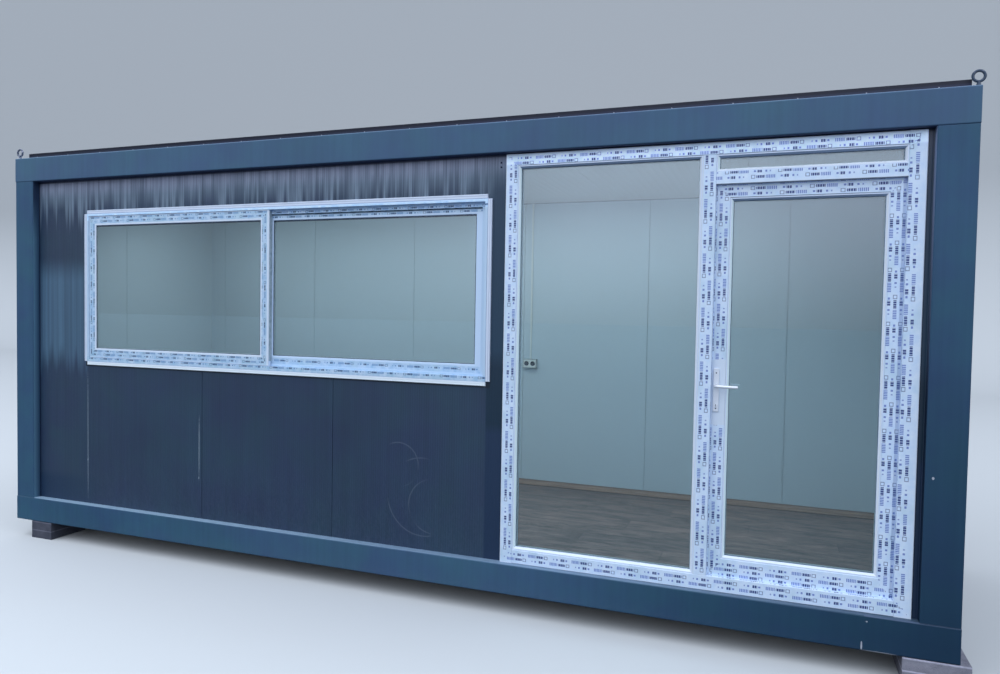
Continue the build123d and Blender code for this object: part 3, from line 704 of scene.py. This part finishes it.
def strip_plastic(limits):
    """Plain white PVC with the two moulded lines of a cover strip round the window."""
    left, right, foot, top = limits
    material, tree, shader = new_material("white cover strip", Roughness=0.34)
    place = object_place(tree)
    x, _, z = split(place)
    across = calc("MINIMUM", inside(x, left, right), inside(z, foot, top))
    line = calc("MINIMUM", *(apart(across, fold) for fold in COVER_LINES))
    line = remap(line, 0.0024, 0.0008)
    grime = noise(place, 14.0, 5.0, 0.7)
    colour = lay(
        WHITE_PVC,
        (remap(grime, 0.5, 0.75, 0.0, 0.25), srgb(160, 170, 192)),
        (times(line, 0.6), srgb(138, 152, 190)),
        # The foot strip catches the light along its lower edge
        (remap(calc("SUBTRACT", z, foot), 0.040, 0.006), srgb(230, 243, 255)),
    )
    give(shader, Base_Color=colour)
    set_bump(shader, calc("SUBTRACT", noise(place, 6.0, 2.0), line), 0.0006)
    return material


def bead_plastic():
    """Plain white PVC of the glazing beads, with painted light and shade by the way each face looks."""
    material, tree, shader = new_material("white bead", Roughness=0.28)
    normal_x, normal_y, normal_z = facing(tree)
    grime = noise(object_place(tree), 18.0, 5.0, 0.7)
    colour = lay(
        srgb(216, 226, 242),
        (remap(grime, 0.5, 0.75, 0.0, 0.2), srgb(168, 182, 204)),
        # Painted light where it faces right, a bluer painted reflection to the front, and painted shade
        # underneath
        (remap(normal_x, 0.3, 0.7), srgb(226, 246, 255)),
        (remap(normal_y, -0.90, -0.98, 0.0, 0.75), srgb(206, 222, 250)),
        (remap(normal_z, -0.3, -0.7, 0.0, 0.85), srgb(128, 154, 194)),
    )
    give(shader, Base_Color=colour)
    return material


finish_node(bead_plastic(), "side_light_beads", "toplight_beads", "leaf_beads")


def build_film():
    """Protective film printed with staggered rows of bars and boxes along a member."""
    tree, given, result = start_group(
        "printed film",
        {"Turn": 0.0, "Across": 0.0, "Row": 0.020, "Row Pitch": 0.027, "First Row": 0.0, "Size": 1.0,
         "Film": srgb(198, 220, 249), "Bold": srgb(46, 66, 126), "Faint": srgb(112, 134, 198)},
        "Color", "Height")
    # Which row a point is in, and how far it is from that row's middle
    rows = calc("DIVIDE", calc("SUBTRACT", given["Across"], given["Row"]), given["Row Pitch"])
    row = calc("ROUND", rows)
    off = times(calc("SUBTRACT", rows, row), given["Row Pitch"])
    off = calc("DIVIDE", off, given["Size"])
    printed = times(calc("LESS_THAN", row, 1.5),
                    calc("GREATER_THAN", row, calc("SUBTRACT", given["First Row"], 0.5)))
    # Place along the repeat, from 0 to 1, every second row half a repeat on
    turn = calc("FRACT", calc("MULTIPLY_ADD", row, 0.5, given["Turn"]))

    def mark(start, end, half_height, strength=1.0):
        """A box along the repeat, as high as asked about the row's middle."""
        high = calc("COMPARE", off, 0.0, half_height)
        return times(within(turn, start, end), high, strength)

    def bars(count, share):
        """Upright bars, so many to a repeat, that fill a share of their pitch."""
        return calc("LESS_THAN", calc("FRACT", times(turn, count)), share)

    box = calc("SUBTRACT", mark(0.370, 0.450, 0.0092), mark(0.386, 0.434, 0.0058))
    bold = most(mark(0.19, 0.35, 0.0066, bars(24.0, 0.80)), mark(0.745, 0.84, 0.0068, bars(24.0, 0.80)),
                times(box, 0.66))
    faint = most(mark(0.0, 0.17, 0.0082, bars(32.0, 0.66)), mark(0.58, 0.605, 0.0040, 0.8),
                 mark(0.65, 0.685, 0.0050), mark(0.86, 0.90, 0.0046))
    place = object_place(tree)
    wrinkle = noise(place, 30.0, 3.0, 0.6)
    patch = noise(place, 9.0, 2.0, 0.5, stretch=(1.0, 1.0, 0.5))
    colour = lay(
        given["Film"],
        # Painted highlights on the film's wrinkles
        (remap(wrinkle, 0.35, 0.7, 0.0, 0.45), srgb(230, 240, 255)),
        # Soft patches where it lies loose and looks greener or greyer
        (remap(patch, 0.52, 0.66, 0.0, 0.35), srgb(166, 198, 216)),
        (times(faint, printed), given["Faint"]),
        (times(bold, printed), given["Bold"]),
    )
    give(result, Color=colour, Height=wrinkle)
    return tree


def either(choice, first, second):
    """The first value where the choice is 0, and the second where it is 1."""
    return put(choice.id_data, "Mix", {0: choice, 2: first, 3: second}, data_type="FLOAT").outputs[0]


def build_member():
    """Runs of a rectangular frame: how far along and across its member a point is, mitred at the corners."""
    tree, given, result = start_group(
        "frame member", {"Left": 0.0, "Right": 1.0, "Foot": 0.0, "Top": 1.0, "Face": 0.0, "Row": 0.02},
        "Along", "Across", "Upright", "Far")
    x, y, z = split(object_place(tree))
    upright = inside(x, given["Left"], given["Right"])
    level = inside(z, given["Foot"], given["Top"])
    runs_up = calc("LESS_THAN", upright, level)
    far_x = calc("GREATER_THAN", times(x, 2.0), calc("ADD", given["Left"], given["Right"]))
    far_z = calc("GREATER_THAN", times(z, 2.0), calc("ADD", given["Foot"], given["Top"]))
    # On the sides of a member, across runs on from its face into the depth
    side = calc("LESS_THAN", calc("ABSOLUTE", facing(tree)[1]), 0.4)
    deep = calc("ADD", calc("SUBTRACT", y, given["Face"]), calc("SUBTRACT", given["Row"], 0.010))
    give(result, Along=either(runs_up, x, z),
         Across=either(side, calc("MINIMUM", upright, level), deep),
         Upright=runs_up, Far=either(runs_up, far_z, far_x))
    return tree


film_print = build_film()
member = build_member()
FILM_GLEAM = (1.5, 1.5, 1.5, 1.0)
# A limit that no part of the cabin reaches
FAR = 50.0


def by_side(run, values):
    """The value for the left, right, foot or top run that a point is in."""
    left, right, foot, top = values
    if len(set(values)) == 1:
        return left
    level = either(run["Far"], foot, top)
    return either(run["Upright"], level, either(run["Far"], left, right))


def film_plastic(name, limits, face, *runs, inner=FAR, bare=None, shaded=None, lit_above=None, lit_edge=0.0,
                 plain=srgb(208, 222, 242), painted_underside=srgb(60, 80, 112), **print_values):
    """White PVC under printed film; limits are the frame's (left, right, foot, top).

    A run is (repeats per metre, signed for the way they read, start of the repeat, first row from the edge).
    The film ends at inner from the edge, is peeled off in the bare rectangle, lies in painted shade right of
    shaded, and is painted lit above a height and along its edge. Faces that look down take a painted tone for
    their shade.
    """
    material, tree, shader = new_material(name, Roughness=0.36)
    place = object_place(tree)
    x, y, z = split(place)
    runs = runs * 4 if len(runs) == 1 else runs
    pitches, starts, rows = zip(*runs)
    run = use_group(tree, member, Left=limits[0], Right=limits[1], Foot=limits[2], Top=limits[3], Face=face,
                    Row=sum(rows) / len(rows))
    across = run["Across"]
    turn = calc("MULTIPLY_ADD", run["Along"], by_side(run, pitches), by_side(run, starts))
    film = use_group(tree, film_print, Turn=turn, Across=across, Row=by_side(run, rows), **print_values)
    covered = times(remap(across, 0.0045, 0.006), remap(across, inner, inner - 0.0015),
                    calc("LESS_THAN", y, face + 0.04))
    if bare:
        x0, x1, z0, z1 = bare
        ragged = calc("MULTIPLY_ADD", noise(place, 25.0, 2.0), 0.03, z)
        peeled = times(within(x, x0, x1), within(ragged, z0 + 0.015, z1 + 0.015))
        covered = times(covered, calc("SUBTRACT", 1.0, peeled))
    colour = blend(covered, plain, film["Color"])
    lit = remap(across, 0.013, 0.003, 0.0, lit_edge)
    if lit_above:
        lit = most(lit, remap(z, lit_above, lit_above + 0.010, 0.0, 0.6))
    colour = blend(lit, colour, blend(1.0, colour, FILM_GLEAM, "MULTIPLY"))
    if shaded:
        shade = remap(x, shaded - 0.001, shaded + 0.001, 0.0, 0.35)
        colour = blend(shade, colour, srgb(84, 108, 160))
    # Painted shade on faces that look down; the window frame's tone for them is paler, as painted light
    colour = blend(remap(facing(tree)[2], -0.5, -0.9, 0.0, 0.6), colour, painted_underside)
    give(shader, Base_Color=colour)
    set_bump(shader, film["Height"], 0.0006)
    return material


def limits_of(*names):
    """The left, right, foot and top of CAD nodes together, and their front face."""
    lows, highs = zip(*(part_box(name) for name in names))
    left, front, foot = (min(low[axis] for low in lows) for axis in range(3))
    right, _, top = (max(high[axis] for high in highs) for axis in range(3))
    return (left, right, foot, top), front


finish_node(strip_plastic(limits_of("window_cover_strips")[0]), "window_cover_strips")
window_print = {"Film": srgb(154, 189, 223), "Bold": srgb(46, 76, 120), "Faint": srgb(104, 142, 190),
                "Size": 0.8, "Row_Pitch": 0.0245}
# Repeats per metre along the members of the window
REPEAT = 4.24
SASH_FILM_WIDTH = 0.053
INTERLOCK = 0.014
window, frame_face = limits_of("window_frame")
# The window frame's undersides take a pale tone: painted light in the empty track
finish_node(film_plastic("window frame film", (-FAR, FAR, window[2] - 0.011, window[3]), frame_face,
                         (-REPEAT, 0.0, 0.032), inner=0.046, plain=srgb(182, 207, 234),
                         lit_above=window[3] - 0.050, painted_underside=srgb(190, 214, 244), **window_print),
            "window_frame")
left_sash, left_face = limits_of("window_sash_left")
finish_node(film_plastic("left sash film", left_sash, left_face, (-REPEAT, 0.06, 0.020),
                         (REPEAT, 0.56, 0.029), (-REPEAT, 0.09, 0.0215), (-REPEAT, 0.48, 0.012),
                         inner=SASH_FILM_WIDTH,
                         bare=(left_sash[1] - INTERLOCK, left_sash[1] + 1.0, -FAR, FAR), **window_print),
            "window_sash_left")
right_sash, right_face = limits_of("window_sash_right")
finish_node(film_plastic("right sash film", (right_sash[0], FAR, *right_sash[2:]), right_face,
                         (REPEAT, 0.1, 0.020), (REPEAT, 0.1, 0.020), (REPEAT, 0.42, 0.0355),
                         (-REPEAT, 0.41, 0.0455), inner=SASH_FILM_WIDTH, plain=srgb(196, 218, 246),
                         lit_above=right_sash[3] - 0.026, **window_print),
            "window_sash_right")


def rubber(name, dark, light):
    """Rubber or brush pile of seals and gaskets."""
    material, tree, shader = new_material(name, Roughness=0.75, Specular_IOR_Level=0.2)
    speckle = remap(noise(object_place(tree), 40.0, 3.0), 0.35, 0.65)
    give(shader, Base_Color=blend(speckle, dark, light))
    return material


def spacer_metal(name, shade_above):
    """Bright aluminium spacer between the two sheets of a sealed pane, with a painted shadow above a height.
    """
    material, tree, shader = new_material(name, Metallic=0.5, Roughness=0.4)
    place = object_place(tree)
    colour = blend(noise(place, 90.0, 2.0), srgb(150, 164, 170), srgb(196, 206, 210))
    # Painted shadow of the frame over the spacer above a height
    head_shadow = remap(split(place)[2], shade_above, shade_above + 0.001)
    give(shader, Base_Color=blend(head_shadow, colour, srgb(22, 40, 66)))
    return material


def shrunk(limits, by):
    """Limits moved in by the same amount on every side."""
    return (limits[0] + by, limits[1] - by, limits[2] + by, limits[3] - by)


seal = rubber("seal rubber", srgb(20, 36, 56), srgb(74, 100, 128))
grey_seal = rubber("grey gasket", srgb(84, 110, 134), srgb(110, 136, 158))
spacer = spacer_metal("pane spacer", FAR)
SASH_WIDTH = 0.065
# From a sash's face back to its pane and to the spacer in that pane
GLASS_DEPTH = 0.0045
SPACER_DEPTH = 0.0085
PANE_OVER_SASH = 0.0095
GASKET = 0.003
SPACER_WIDTH = 0.018
sashes = ((left_sash, left_face), (right_sash, right_face))
bm = bmesh.new()
for limits, face in sashes:
    glass = face + GLASS_DEPTH
    add_ring(bm, shrunk(limits, SASH_WIDTH), GASKET, glass - 0.002, glass)
# Brush pile along the head of the right-hand track, in front of the rear sash
add_block(bm, (left_sash[1] + 0.001, right_face - 0.005, window[3] - 0.049),
          (right_sash[1] - 0.028, right_face - 0.0005, window[3] - 0.0415))
make_piece("window_gaskets", bm, seal, "cabin")

# Fin down the side of the meeting stile
bm = bmesh.new()
add_block(bm, (left_sash[1], left_face + 0.004, left_sash[2] + 0.03),
          (left_sash[1] + 0.002, right_face - 0.001, left_sash[3] - 0.002))
fin = rubber("fin rubber", srgb(140, 160, 178), srgb(168, 186, 202))
make_piece("meeting_stile_fin", bm, fin, "cabin")


def make_rings(name, rings, material, body):
    """A piece of upright rectangular rings; each is its limits, width, front and back."""
    bm = bmesh.new()
    for ring in rings:
        add_ring(bm, *ring)
    make_piece(name, bm, material, body)


make_rings("window_pane_spacers",
           [(shrunk(limits, SASH_WIDTH - PANE_OVER_SASH), SPACER_WIDTH, face + SPACER_DEPTH,
             face + SPACER_DEPTH + 0.008) for limits, face in sashes],
           spacer_metal("window pane spacer", left_sash[3] - 0.076), "cabin")


# Glass: sealed double panes with a faint blue-green cast, one to each sash, to the side light,
# the toplight and the door leaf.

def clear_glass():
    """Tinted glass that lets lamps through to the room behind it."""
    material, tree, shader = new_material(
        "pane", Base_Color=srgb(218, 234, 236), Roughness=0.0, IOR=1.7, Transmission_Weight=1.0)
    passing = put(tree, "BsdfTransparent", {"Color": srgb(226, 238, 240)})
    in_shadow = put(tree, "LightPath").outputs["Is Shadow Ray"]
    mix = put(tree, "MixShader", {0: in_shadow, 1: shader.outputs[0], 2: passing.outputs[0]})
    give(tree.nodes["Material Output"], Surface=mix.outputs[0])
    return material


finish_node(clear_glass(), "window_glass", "fixed_glass", "door_glass")


# Door set: white PVC frame with a fixed side light on the left and a toplight over the door,
# all under the same printed film.

set_limits, set_face = limits_of("door_jamb_left", "door_jamb_right")
mullion_low, mullion_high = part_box("door_mullion")
transom_low, transom_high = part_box("door_transom")
finish_node(film_plastic("frame film", set_limits, set_face, (-3.676, 0.78, 0.0295), (-3.571, 0.78, 0.0405),
                         (4.032, 0.79, 0.0255), (4.032, 0.28, 0.0240), lit_above=mullion_high[2]),
            "door_jamb_left", "door_jamb_right", "door_head", "door_sill")
finish_node(film_plastic("mullion film", (mullion_low[0], FAR, -FAR, FAR), mullion_low[1],
                         (-3.663, 0.34, 0.0185)), "door_mullion")
finish_node(film_plastic("transom film", (-FAR, FAR, transom_low[2], FAR), transom_low[1],
                         (-4.032, 0.66, 0.0295)), "door_transom")

BEAD = 0.015
PANE_EDGE = 0.0015
FIXED_GLASS = set_face + 0.025
light_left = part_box("door_jamb_left")[1][0] - BEAD
light_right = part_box("door_jamb_right")[0][0]
light_foot = mullion_low[2]
light_top = mullion_high[2]
side_light = (light_left, mullion_low[0], light_foot, light_top)
toplight = (mullion_high[0], light_right, transom_high[2], light_top)
doorway = (mullion_high[0], light_right, light_foot, transom_low[2])
make_rings("fixed_pane_gaskets",
           [(shrunk(limits, BEAD), 0.0022, FIXED_GLASS - 0.002, FIXED_GLASS)
            for limits in (side_light, toplight)],
           grey_seal, "cabin")
make_rings("doorway_gasket", [(shrunk(doorway, -0.006), 0.0075, set_face + 0.0203, set_face + 0.0247)],
           rubber("white gasket", srgb(176, 196, 224), srgb(206, 222, 244)), "cabin")
make_rings("fixed_pane_spacers",
           [(shrunk(limits, PANE_EDGE), SPACER_WIDTH, FIXED_GLASS + 0.004, FIXED_GLASS + 0.020)
            for limits in (side_light, toplight)],
           spacer, "cabin")


# Door leaf: PVC, opens inwards, with a lever handle on narrow plates, a lock cylinder and
# three hinges on the room side. The film has been peeled off round the lock.

OVERLAP = 0.014
leaf, face = limits_of("door_leaf")
leaf_outer = shrunk(leaf, OVERLAP)
finish_node(film_plastic("leaf film", leaf_outer, face, (-3.968, 0.95, 0.0310), (3.953, 0.32, 0.0410),
                         (4.073, 0.22, 0.0400), (-3.676, 0.93, 0.0280), Row_Pitch=0.026, First_Row=-1.0,
                         bare=(leaf[0], leaf[0] + 0.095, 1.14, 1.47), shaded=leaf[1] - 0.036,
                         lit_edge=0.6, lit_above=leaf_outer[3] - 0.028), "door_leaf")


def satin_aluminium(name, dark, light, metallic, roughness):
    """Fine brushed or cast metal."""
    material, tree, shader = new_material(name, Metallic=metallic)
    brush = noise(object_place(tree), 120.0, 4.0, 0.6, stretch=(1.0, 1.0, 8.0))
    give(shader, Base_Color=blend(brush, dark, light),
         Roughness=remap(brush, 0.3, 0.7, roughness - 0.06, roughness + 0.08))
    return material


finish_node(satin_aluminium("lever metal", srgb(205, 210, 220), srgb(240, 243, 250), 0.25, 0.32),
            "door_handle")
finish_node(satin_aluminium("handle plate", srgb(205, 212, 226), srgb(228, 234, 246), 0.1, 0.35),
            "handle_plates")
finish_node(satin_aluminium("lock steel", srgb(120, 122, 128), srgb(180, 182, 190), 1.0, 0.35),
            "lock_keep", "lock_faceplate")
finish_node(satin_aluminium("hinge coating", srgb(206, 210, 218), srgb(230, 233, 240), 0.0, 0.4),
            "hinge_frame_parts", "hinge_leaf_parts")

pane, pane_face = limits_of("door_glass")
pane_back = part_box("door_glass")[1][1]
leaf_pane = shrunk(pane, -0.0005)
make_rings("leaf_gasket", [(shrunk(leaf_pane, BEAD), GASKET, pane_face - 0.002, pane_face)],
           grey_seal, "leaf")
make_rings("leaf_pane_spacer",
           [(shrunk(leaf_pane, PANE_EDGE), SPACER_WIDTH, pane_face + 0.004, pane_back - 0.004)],
           spacer, "leaf")

cylinder_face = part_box("handle_plates")[0][1]
PLATE_SCREW = ((0.0, 0.0009), (0.0030, 0.0007), (0.0036, 0.0), (0.0, -0.001))
LOCK_X = 1.896
SCREW_HEIGHTS = (1.402, 1.222)
# The plate's face lies behind the face of the lock cylinder, which holds the key slot
PLATE_DEPTH = 0.0032
make_turned("plate_screws", PLATE_SCREW, 12,
            [(LOCK_X, cylinder_face + PLATE_DEPTH, height) for height in SCREW_HEIGHTS],
            dark_screw, "leaf")
SLOT_HALF = 0.0011
SLOT_FOOT = 1.231
SLOT_TOP = 1.243
bm = bmesh.new()
add_block(bm, (LOCK_X - SLOT_HALF, cylinder_face - 0.0001, SLOT_FOOT),
          (LOCK_X + SLOT_HALF, cylinder_face + 0.001, SLOT_TOP))
make_piece("lock_key_slot", bm, dark_screw, "leaf")


# Double socket: a white surface socket on the back wall, with its cable in trunking up to the
# ceiling.

socket, socket_face = limits_of("double_socket")


def socket_plastic():
    """White switchgear plastic."""
    material, tree, shader = new_material("socket plastic", Roughness=0.3)
    place = object_place(tree)
    x, _, z = split(place)
    colour = blend(noise(place, 12.0, 4.0), srgb(206, 212, 210), srgb(226, 230, 228))
    left, right, foot, top = socket
    across = calc("MINIMUM", inside(x, left, right), inside(z, foot, top))
    # Painted shade round the edges of its face
    painted_edge_shade = times(calc("GREATER_THAN", across, -0.001), remap(across, 0.007, 0.003), 0.7)
    give(shader, Base_Color=blend(painted_edge_shade, colour, srgb(70, 90, 100)))
    return material


finish_node(socket_plastic(), "double_socket", "socket_trunking")

WELL = ((0.0, 0.0004), (0.0150, 0.0004), (0.0176, 0.0012), (0.0192, 0.0012), (0.0196, -0.001), (0.0, -0.001))
WELL_SHARES = (0.27, 0.73)
PIN_FROM_MIDDLE = 0.0095
PIN_HALF = 0.0024
bm = bmesh.new()
for share in WELL_SHARES:
    x, y, z = (socket[0] + share * (socket[1] - socket[0]), socket_face + 0.0003, (socket[2] + socket[3]) / 2)
    lathe(bm, WELL, 24, Matrix.Translation((x, y, z)) @ FACE_FRONT)
    for pin in (x - PIN_FROM_MIDDLE, x + PIN_FROM_MIDDLE):
        add_block(bm, (pin - PIN_HALF, y - 0.0008, z - PIN_HALF), (pin + PIN_HALF, y, z + PIN_HALF))
make_piece("socket_wells", bm, dark_screw, "cabin")


# Studio: a plain pale floor that sweeps up behind the cabin, soft overhead light, and the camera
# at the photograph's viewing angle.

PAPER_TONE = srgb(196, 200, 206)
BOUNCE_TONE = srgb(84, 88, 94)
MIRROR_TONE = srgb(110, 132, 146)


def make_stage():
    """The floor with a rounded sweep into an upright backdrop."""
    bm = bmesh.new()
    bmesh.ops.create_grid(bm, x_segments=1, y_segments=1, size=1.0)
    spread = Matrix.Translation((0, -46, 0)) @ Matrix.Diagonal((120, 60, 1, 1))
    bmesh.ops.transform(bm, matrix=spread, verts=bm.verts)
    far = [edge for edge in bm.edges if all(vert.co.y > 13 for vert in edge.verts)]
    ends = list({vert for edge in far for vert in edge.verts})
    sweep = bmesh.ops.spin(bm, geom=far + ends, cent=(0, 14, 6), axis=(1, 0, 0),
                           angle=math.radians(90), steps=24)
    tip = [item for item in sweep["geom_last"] if isinstance(item, bmesh.types.BMEdge)]
    raised = bmesh.ops.extrude_edge_only(bm, edges=tip)["geom"]
    upper = [item for item in raised if isinstance(item, bmesh.types.BMVert)]
    bmesh.ops.translate(bm, vec=(0, 0, 20), verts=upper)
    bmesh.ops.recalc_face_normals(bm, faces=bm.faces)
    mesh = bpy.data.meshes.new("studio_floor")
    bm.to_mesh(mesh)
    bm.free()
    floor = bpy.data.objects.new("studio_floor", mesh)
    bpy.context.scene.collection.objects.link(floor)
    material, tree, shader = new_material("studio paper", Roughness=0.95, Specular_IOR_Level=0.05)
    way = put(tree, "LightPath").outputs
    seen = most(way["Is Camera Ray"], way["Is Transmission Ray"])
    colour = blend(way["Is Glossy Ray"], BOUNCE_TONE, MIRROR_TONE)
    give(shader, Base_Color=blend(seen, colour, PAPER_TONE))
    mesh.materials.append(material)
    mesh.shade_smooth()


make_stage()


def put_area_light(name, place, aim, size, power, colour):
    """A soft area light that looks at a point and isn't seen or mirrored itself."""
    light = bpy.data.lights.new(name, "AREA")
    light.shape = "RECTANGLE"
    light.size, light.size_y = size
    light.energy = power
    light.color = colour
    lamp = bpy.data.objects.new(name, light)
    bpy.context.scene.collection.objects.link(lamp)
    lamp.location = place
    lamp.rotation_euler = (Vector(aim) - Vector(place)).to_track_quat("-Z", "Y").to_euler()
    for rays in ("camera", "glossy", "transmission"):
        setattr(lamp, "visible_" + rays, False)


put_area_light("overhead", (-4.0, -6.0, 8.0), (0.0, -1.0, 1.2), (9.0, 6.0), 260.0, (0.93, 0.97, 1.0))
put_area_light("room", (-0.2, -0.1, 2.43), (-0.2, 0.2, 1.0), (4.6, 0.7), 26.0, (0.93, 0.98, 1.0))

world = bpy.data.worlds.new("studio air")
world.use_nodes = True
air = world.node_tree
LOW_AIR = (0.40, 0.44, 0.48, 1.0)
HIGH_AIR = (1.42, 1.54, 1.68, 1.0)
MIRROR_AIR = (1.88, 2.08, 2.60, 1.0)
MIRROR_LEFT = (0.30, 0.36, 0.42, 1.0)
BACKDROP = srgb(206, 209, 214)
# Air that lights the cabin from above; what the glass mirrors is brighter, and dim at the left
view = split(put(air, "TexCoord").outputs["Generated"])
way = put(air, "LightPath").outputs
shade = blend(remap(view[2], -0.02, 0.45, 0.0, 1.0, "SMOOTHSTEP"), LOW_AIR, HIGH_AIR)
mirror = blend(remap(view[2], -0.06, 0.20, 0.0, 1.0, "SMOOTHSTEP"), LOW_AIR, MIRROR_AIR)
mirror = blend(remap(view[0], -0.25, -0.55, 0.0, 0.85), mirror, MIRROR_LEFT)
shade = lay(shade, (way["Is Glossy Ray"], mirror), (way["Is Camera Ray"], BACKDROP))
give(air.nodes["Background"], Color=shade)
bpy.context.scene.world = world

CAMERA_PLACE = (2.1567, -4.8435, 1.6933)
YAW, PITCH, ROLL = (math.radians(angle) for angle in (-20.1695, -1.9576, 0.9795))
ahead = Vector((math.sin(YAW) * math.cos(PITCH), math.cos(YAW) * math.cos(PITCH), math.sin(PITCH)))
level = Vector((math.cos(YAW), -math.sin(YAW), 0.0))
upward = level.cross(ahead)
to_right = math.cos(ROLL) * level + math.sin(ROLL) * upward
to_top = -math.sin(ROLL) * level + math.cos(ROLL) * upward
camera_data = bpy.data.cameras.new("camera")
camera_data.sensor_width = 36.0
camera_data.lens = 26.70
camera = bpy.data.objects.new("camera", camera_data)
bpy.context.scene.collection.objects.link(camera)
turned = Matrix((to_right, to_top, -ahead)).transposed().to_4x4()
camera.matrix_world = Matrix.Translation(CAMERA_PLACE) @ turned
bpy.context.scene.camera = camera

bpy.context.scene.view_settings.view_transform = "Standard"
